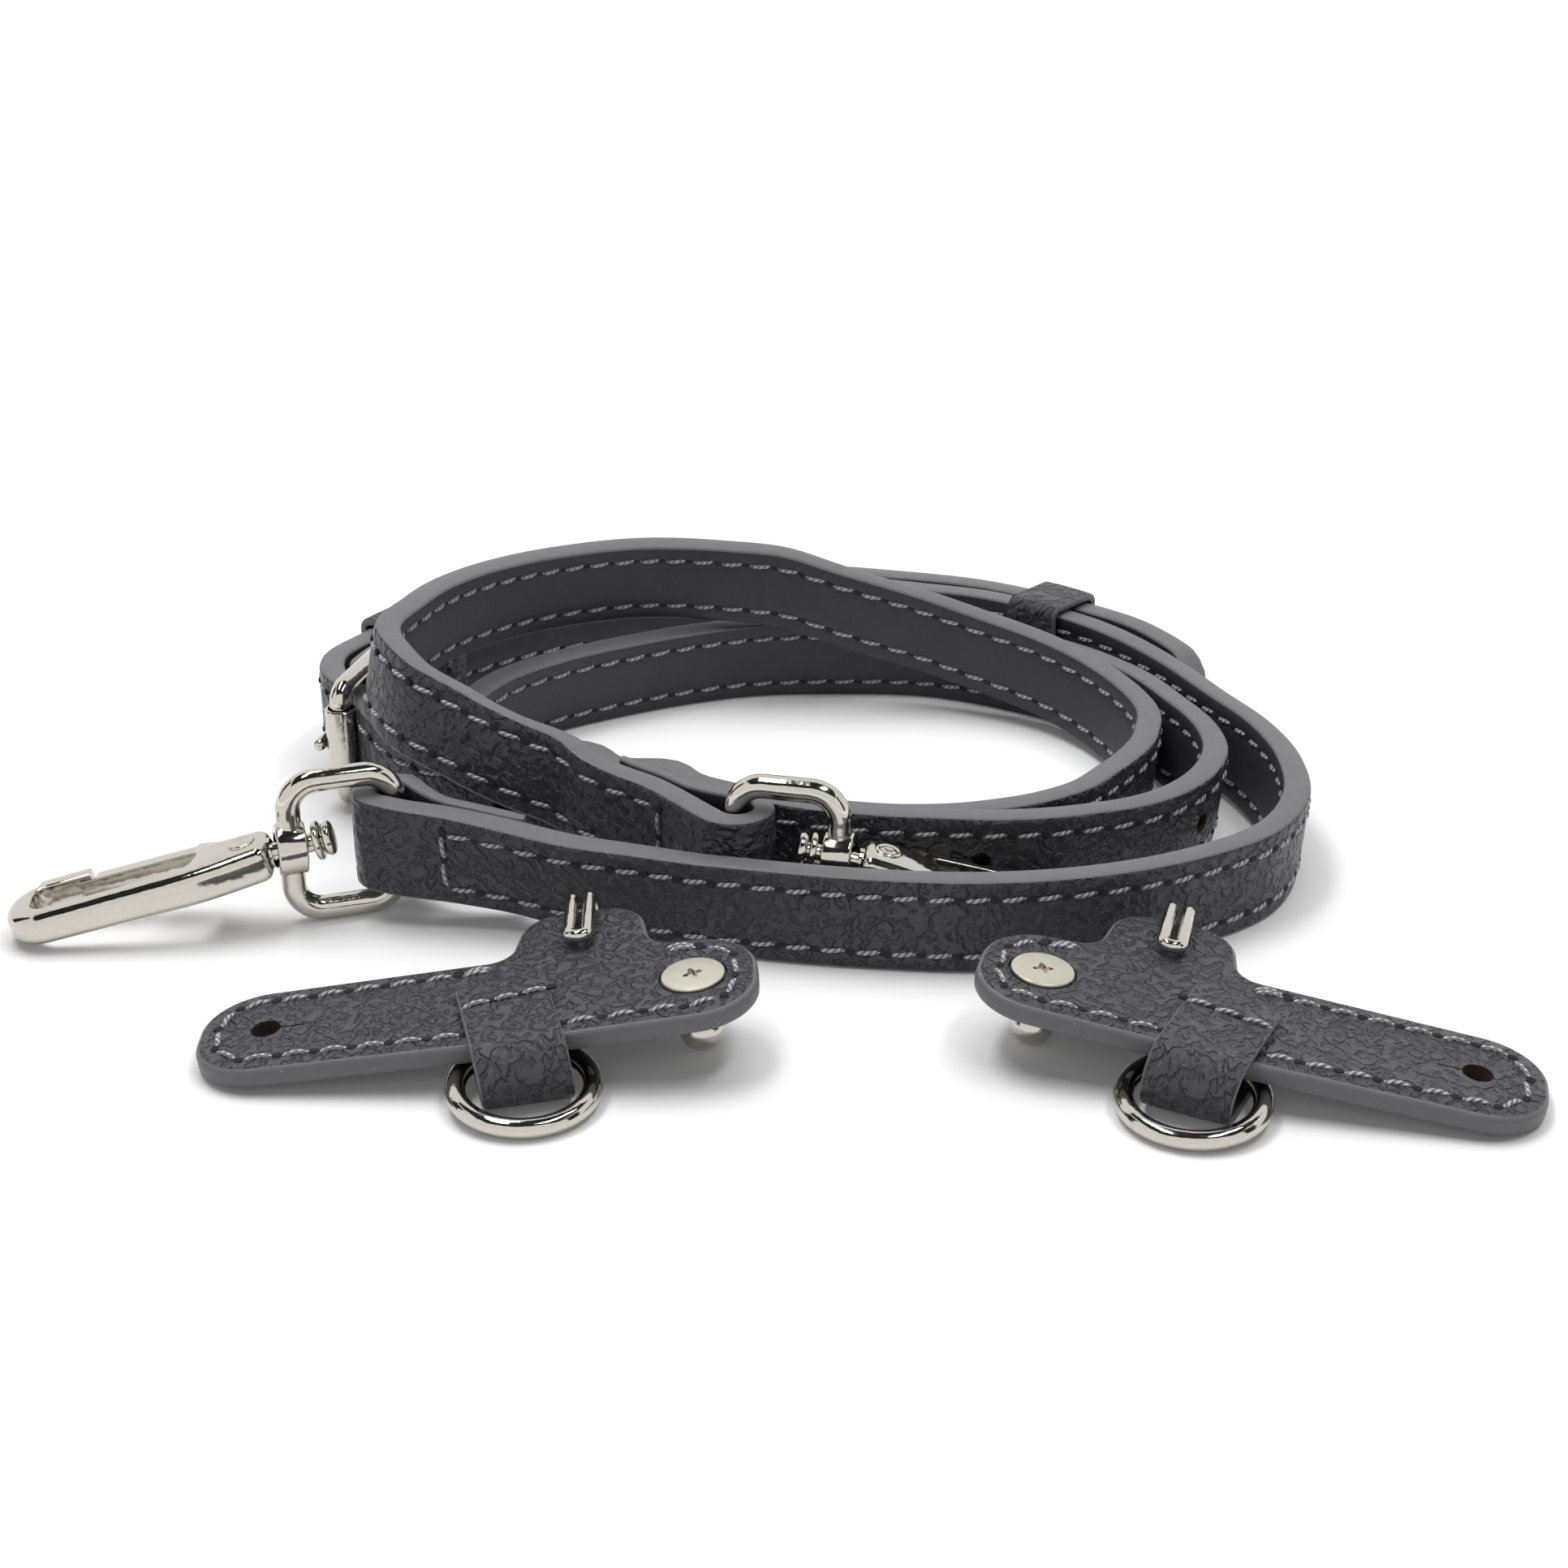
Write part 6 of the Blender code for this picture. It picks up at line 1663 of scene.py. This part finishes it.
def build_wire_hook(name, side, home):
    """Hairpin of wire that wraps the edge of the lobe."""
    half = (WIRE_SPREAD - WIRE_DIAMETER) / 2
    wrap = (TAB_THICKNESS + WIRE_PROUD) / 2 + SEAT_GAP + WIRE_DIAMETER / 2
    middle = (TAB_THICKNESS + WIRE_PROUD) / 2
    edge = LOBE_REACH - TAB_THICKNESS / 4
    leg = [(edge - WIRE_LOWER, middle - wrap), (edge - WIRE_LOWER + WIRE_DIAMETER / 4, middle - wrap)]
    for step in range(BEND_STEPS + 1):
        angle = -math.pi / 2 + math.pi * step / BEND_STEPS
        leg.append((edge + wrap * math.cos(angle), middle + wrap * math.sin(angle)))
    leg.append((edge - WIRE_UPPER + half, middle + wrap))
    points = [(LOBE_DISTANCE - half, y * side, z) for y, z in leg]
    for step in range(1, BEND_STEPS):
        angle = math.pi * step / BEND_STEPS
        y = edge - WIRE_UPPER + half - half * math.sin(angle)
        points.append((LOBE_DISTANCE - half * math.cos(angle), y * side, middle + wrap))
    points += [(LOBE_DISTANCE + half, y * side, z) for y, z in reversed(leg)]
    taper = [WIRE_END_SHARE] + [1.0] * (len(points) - 2) + [WIRE_END_SHARE]
    bent(name + "_wire_hook", points, WIRE_DIAMETER, home, name, taper=taper)


# Studio

def floor_paper(name):
    """White paper that keeps its shadows near the set and glows to plain white far from it."""
    finish = Finish(name, (0.86, 0.86, 0.865), 0.75, specular=0.1)
    rays = finish.node("ShaderNodeLightPath").outputs
    seen = (finish.number(rays["Is Camera Ray"]) + finish.number(rays["Is Glossy Ray"])
            + finish.number(rays["Is Transmission Ray"]))
    place = finish.millimetres()
    away = finish.node("ShaderNodeVectorMath", {"operation": "LENGTH"}, {0: place})
    glow = finish.eased(finish.number(away.outputs["Value"]), GLOW_START, GLOW_END) * 0.9 + 0.06
    patches = finish.noise(place, 0.02)
    finish.set("Base Color", finish.mixed(patches, (0.86, 0.86, 0.865), (0.88, 0.88, 0.885)))
    finish.set("Emission Strength", 1.0)
    finish.set("Emission Color", finish.mixed(seen * glow, (0.0, 0.0, 0.0), (1.0, 1.0, 1.0)))
    return finish.material


def area_light(name, place, size, power, shines):
    """A softbox aimed at the middle of the set."""
    lamp = bpy.data.lights.new(name, "AREA")
    lamp.shape = "RECTANGLE"
    lamp.size, lamp.size_y = size
    lamp.energy = power
    item = linked(name, lamp)
    item.location = place
    item.rotation_euler = (-Vector(place)).to_track_quat("-Z", "Y").to_euler()
    item.visible_glossy = shines


def sheet(name, squares, size, matrix, material):
    """A flat staged sheet."""
    bm = bmesh.new()
    bmesh.ops.create_grid(bm, x_segments=squares, y_segments=squares, size=size)
    bm.transform(matrix)
    item = linked(name, mesh_of(name, bm, False))
    item.data.materials.append(material)
    return item


def build_studio():
    """Floor, dark flags, softboxes, surroundings and camera."""
    sheet("floor", 8, FLOOR_HALF, Matrix.Translation((0.0, 0.0, -FLOOR_DROP)), floor_paper("Floor paper"))
    cloth = Finish("Dark studio cloth", (0.02, 0.02, 0.02), 0.9).material
    for name, place, size in (("overhead_flag", (0.0, -0.12, 0.95), (1.9, 1.3)),
                              ("left_flag", (-0.85, 0.15, 0.35), (0.3, 0.6)),
                              ("right_flag", (0.85, -0.3, 0.35), (0.3, 0.6))):
        turn = Vector(place).to_track_quat("Z", "Y").to_matrix().to_4x4()
        matrix = Matrix.Translation(place) @ turn @ Matrix.Diagonal((*size, 1.0, 1.0))
        flag = sheet(name, 2, 0.5, matrix, cloth)
        flag.visible_camera = False
        flag.visible_diffuse = False
        flag.visible_shadow = False

    for name, place, size, power, shines in (
            ("top softbox", (0.0, 0.2, 0.7), (0.8, 0.45), 3.4, False),
            ("front fill", (-0.35, -0.75, 0.6), (0.5, 0.35), 0.5, False),
            ("left strip", (-0.2, 0.05, 0.75), (0.5, 0.13), 2.0, True),
            ("right strip", (0.28, -0.12, 0.72), (0.45, 0.11), 1.4, True)):
        area_light(name, place, size, power, shines)
    world = bpy.data.worlds.new("Studio")
    bpy.context.scene.world = world
    world.use_nodes = True
    tree = world.node_tree
    rays = add_node(tree, "ShaderNodeLightPath").outputs
    seen = rays["Is Camera Ray"]
    for name in ("Is Glossy Ray", "Is Transmission Ray"):
        seen = add_node(tree, "ShaderNodeMath", None, {0: seen, 1: rays[name]}).outputs[0]
    level = add_node(tree, "ShaderNodeMapRange", None, {"Value": seen, "To Min": AMBIENT})
    background = tree.nodes["Background"].inputs
    feed(tree, background["Strength"], level.outputs["Result"])
    background["Color"].default_value = (1.0, 1.0, 1.0, 1.0)

    data = bpy.data.cameras.new("camera")
    data.lens = LENS
    data.sensor_width = SENSOR_WIDTH
    data.clip_start = 0.01
    camera = linked("camera", data)
    camera.location = HOME @ Vector(CAMERA_PLACE)
    camera.rotation_euler = (math.radians(90.0 - CAMERA_PITCH), 0.0, 0.0)
    bpy.context.scene.camera = camera
    bpy.context.scene.view_settings.view_transform = "Standard"


build_studio()
bars = build_straps()
build_buckle()
build_keepers()
for (hook_name, hook), bar_place in zip(HOOKS.items(), bars):
    ring_frame = HOME @ frame_of(bar_place, 0.0, direction(hook["ring_heading"]))
    build_ring(hook_name + "_ring", ring_frame)
    build_hook(hook_name, ring_frame, hook["hook_heading"], hook["swivel"])
for tab_name, tab in TABS.items():
    build_tab(tab_name, tab)
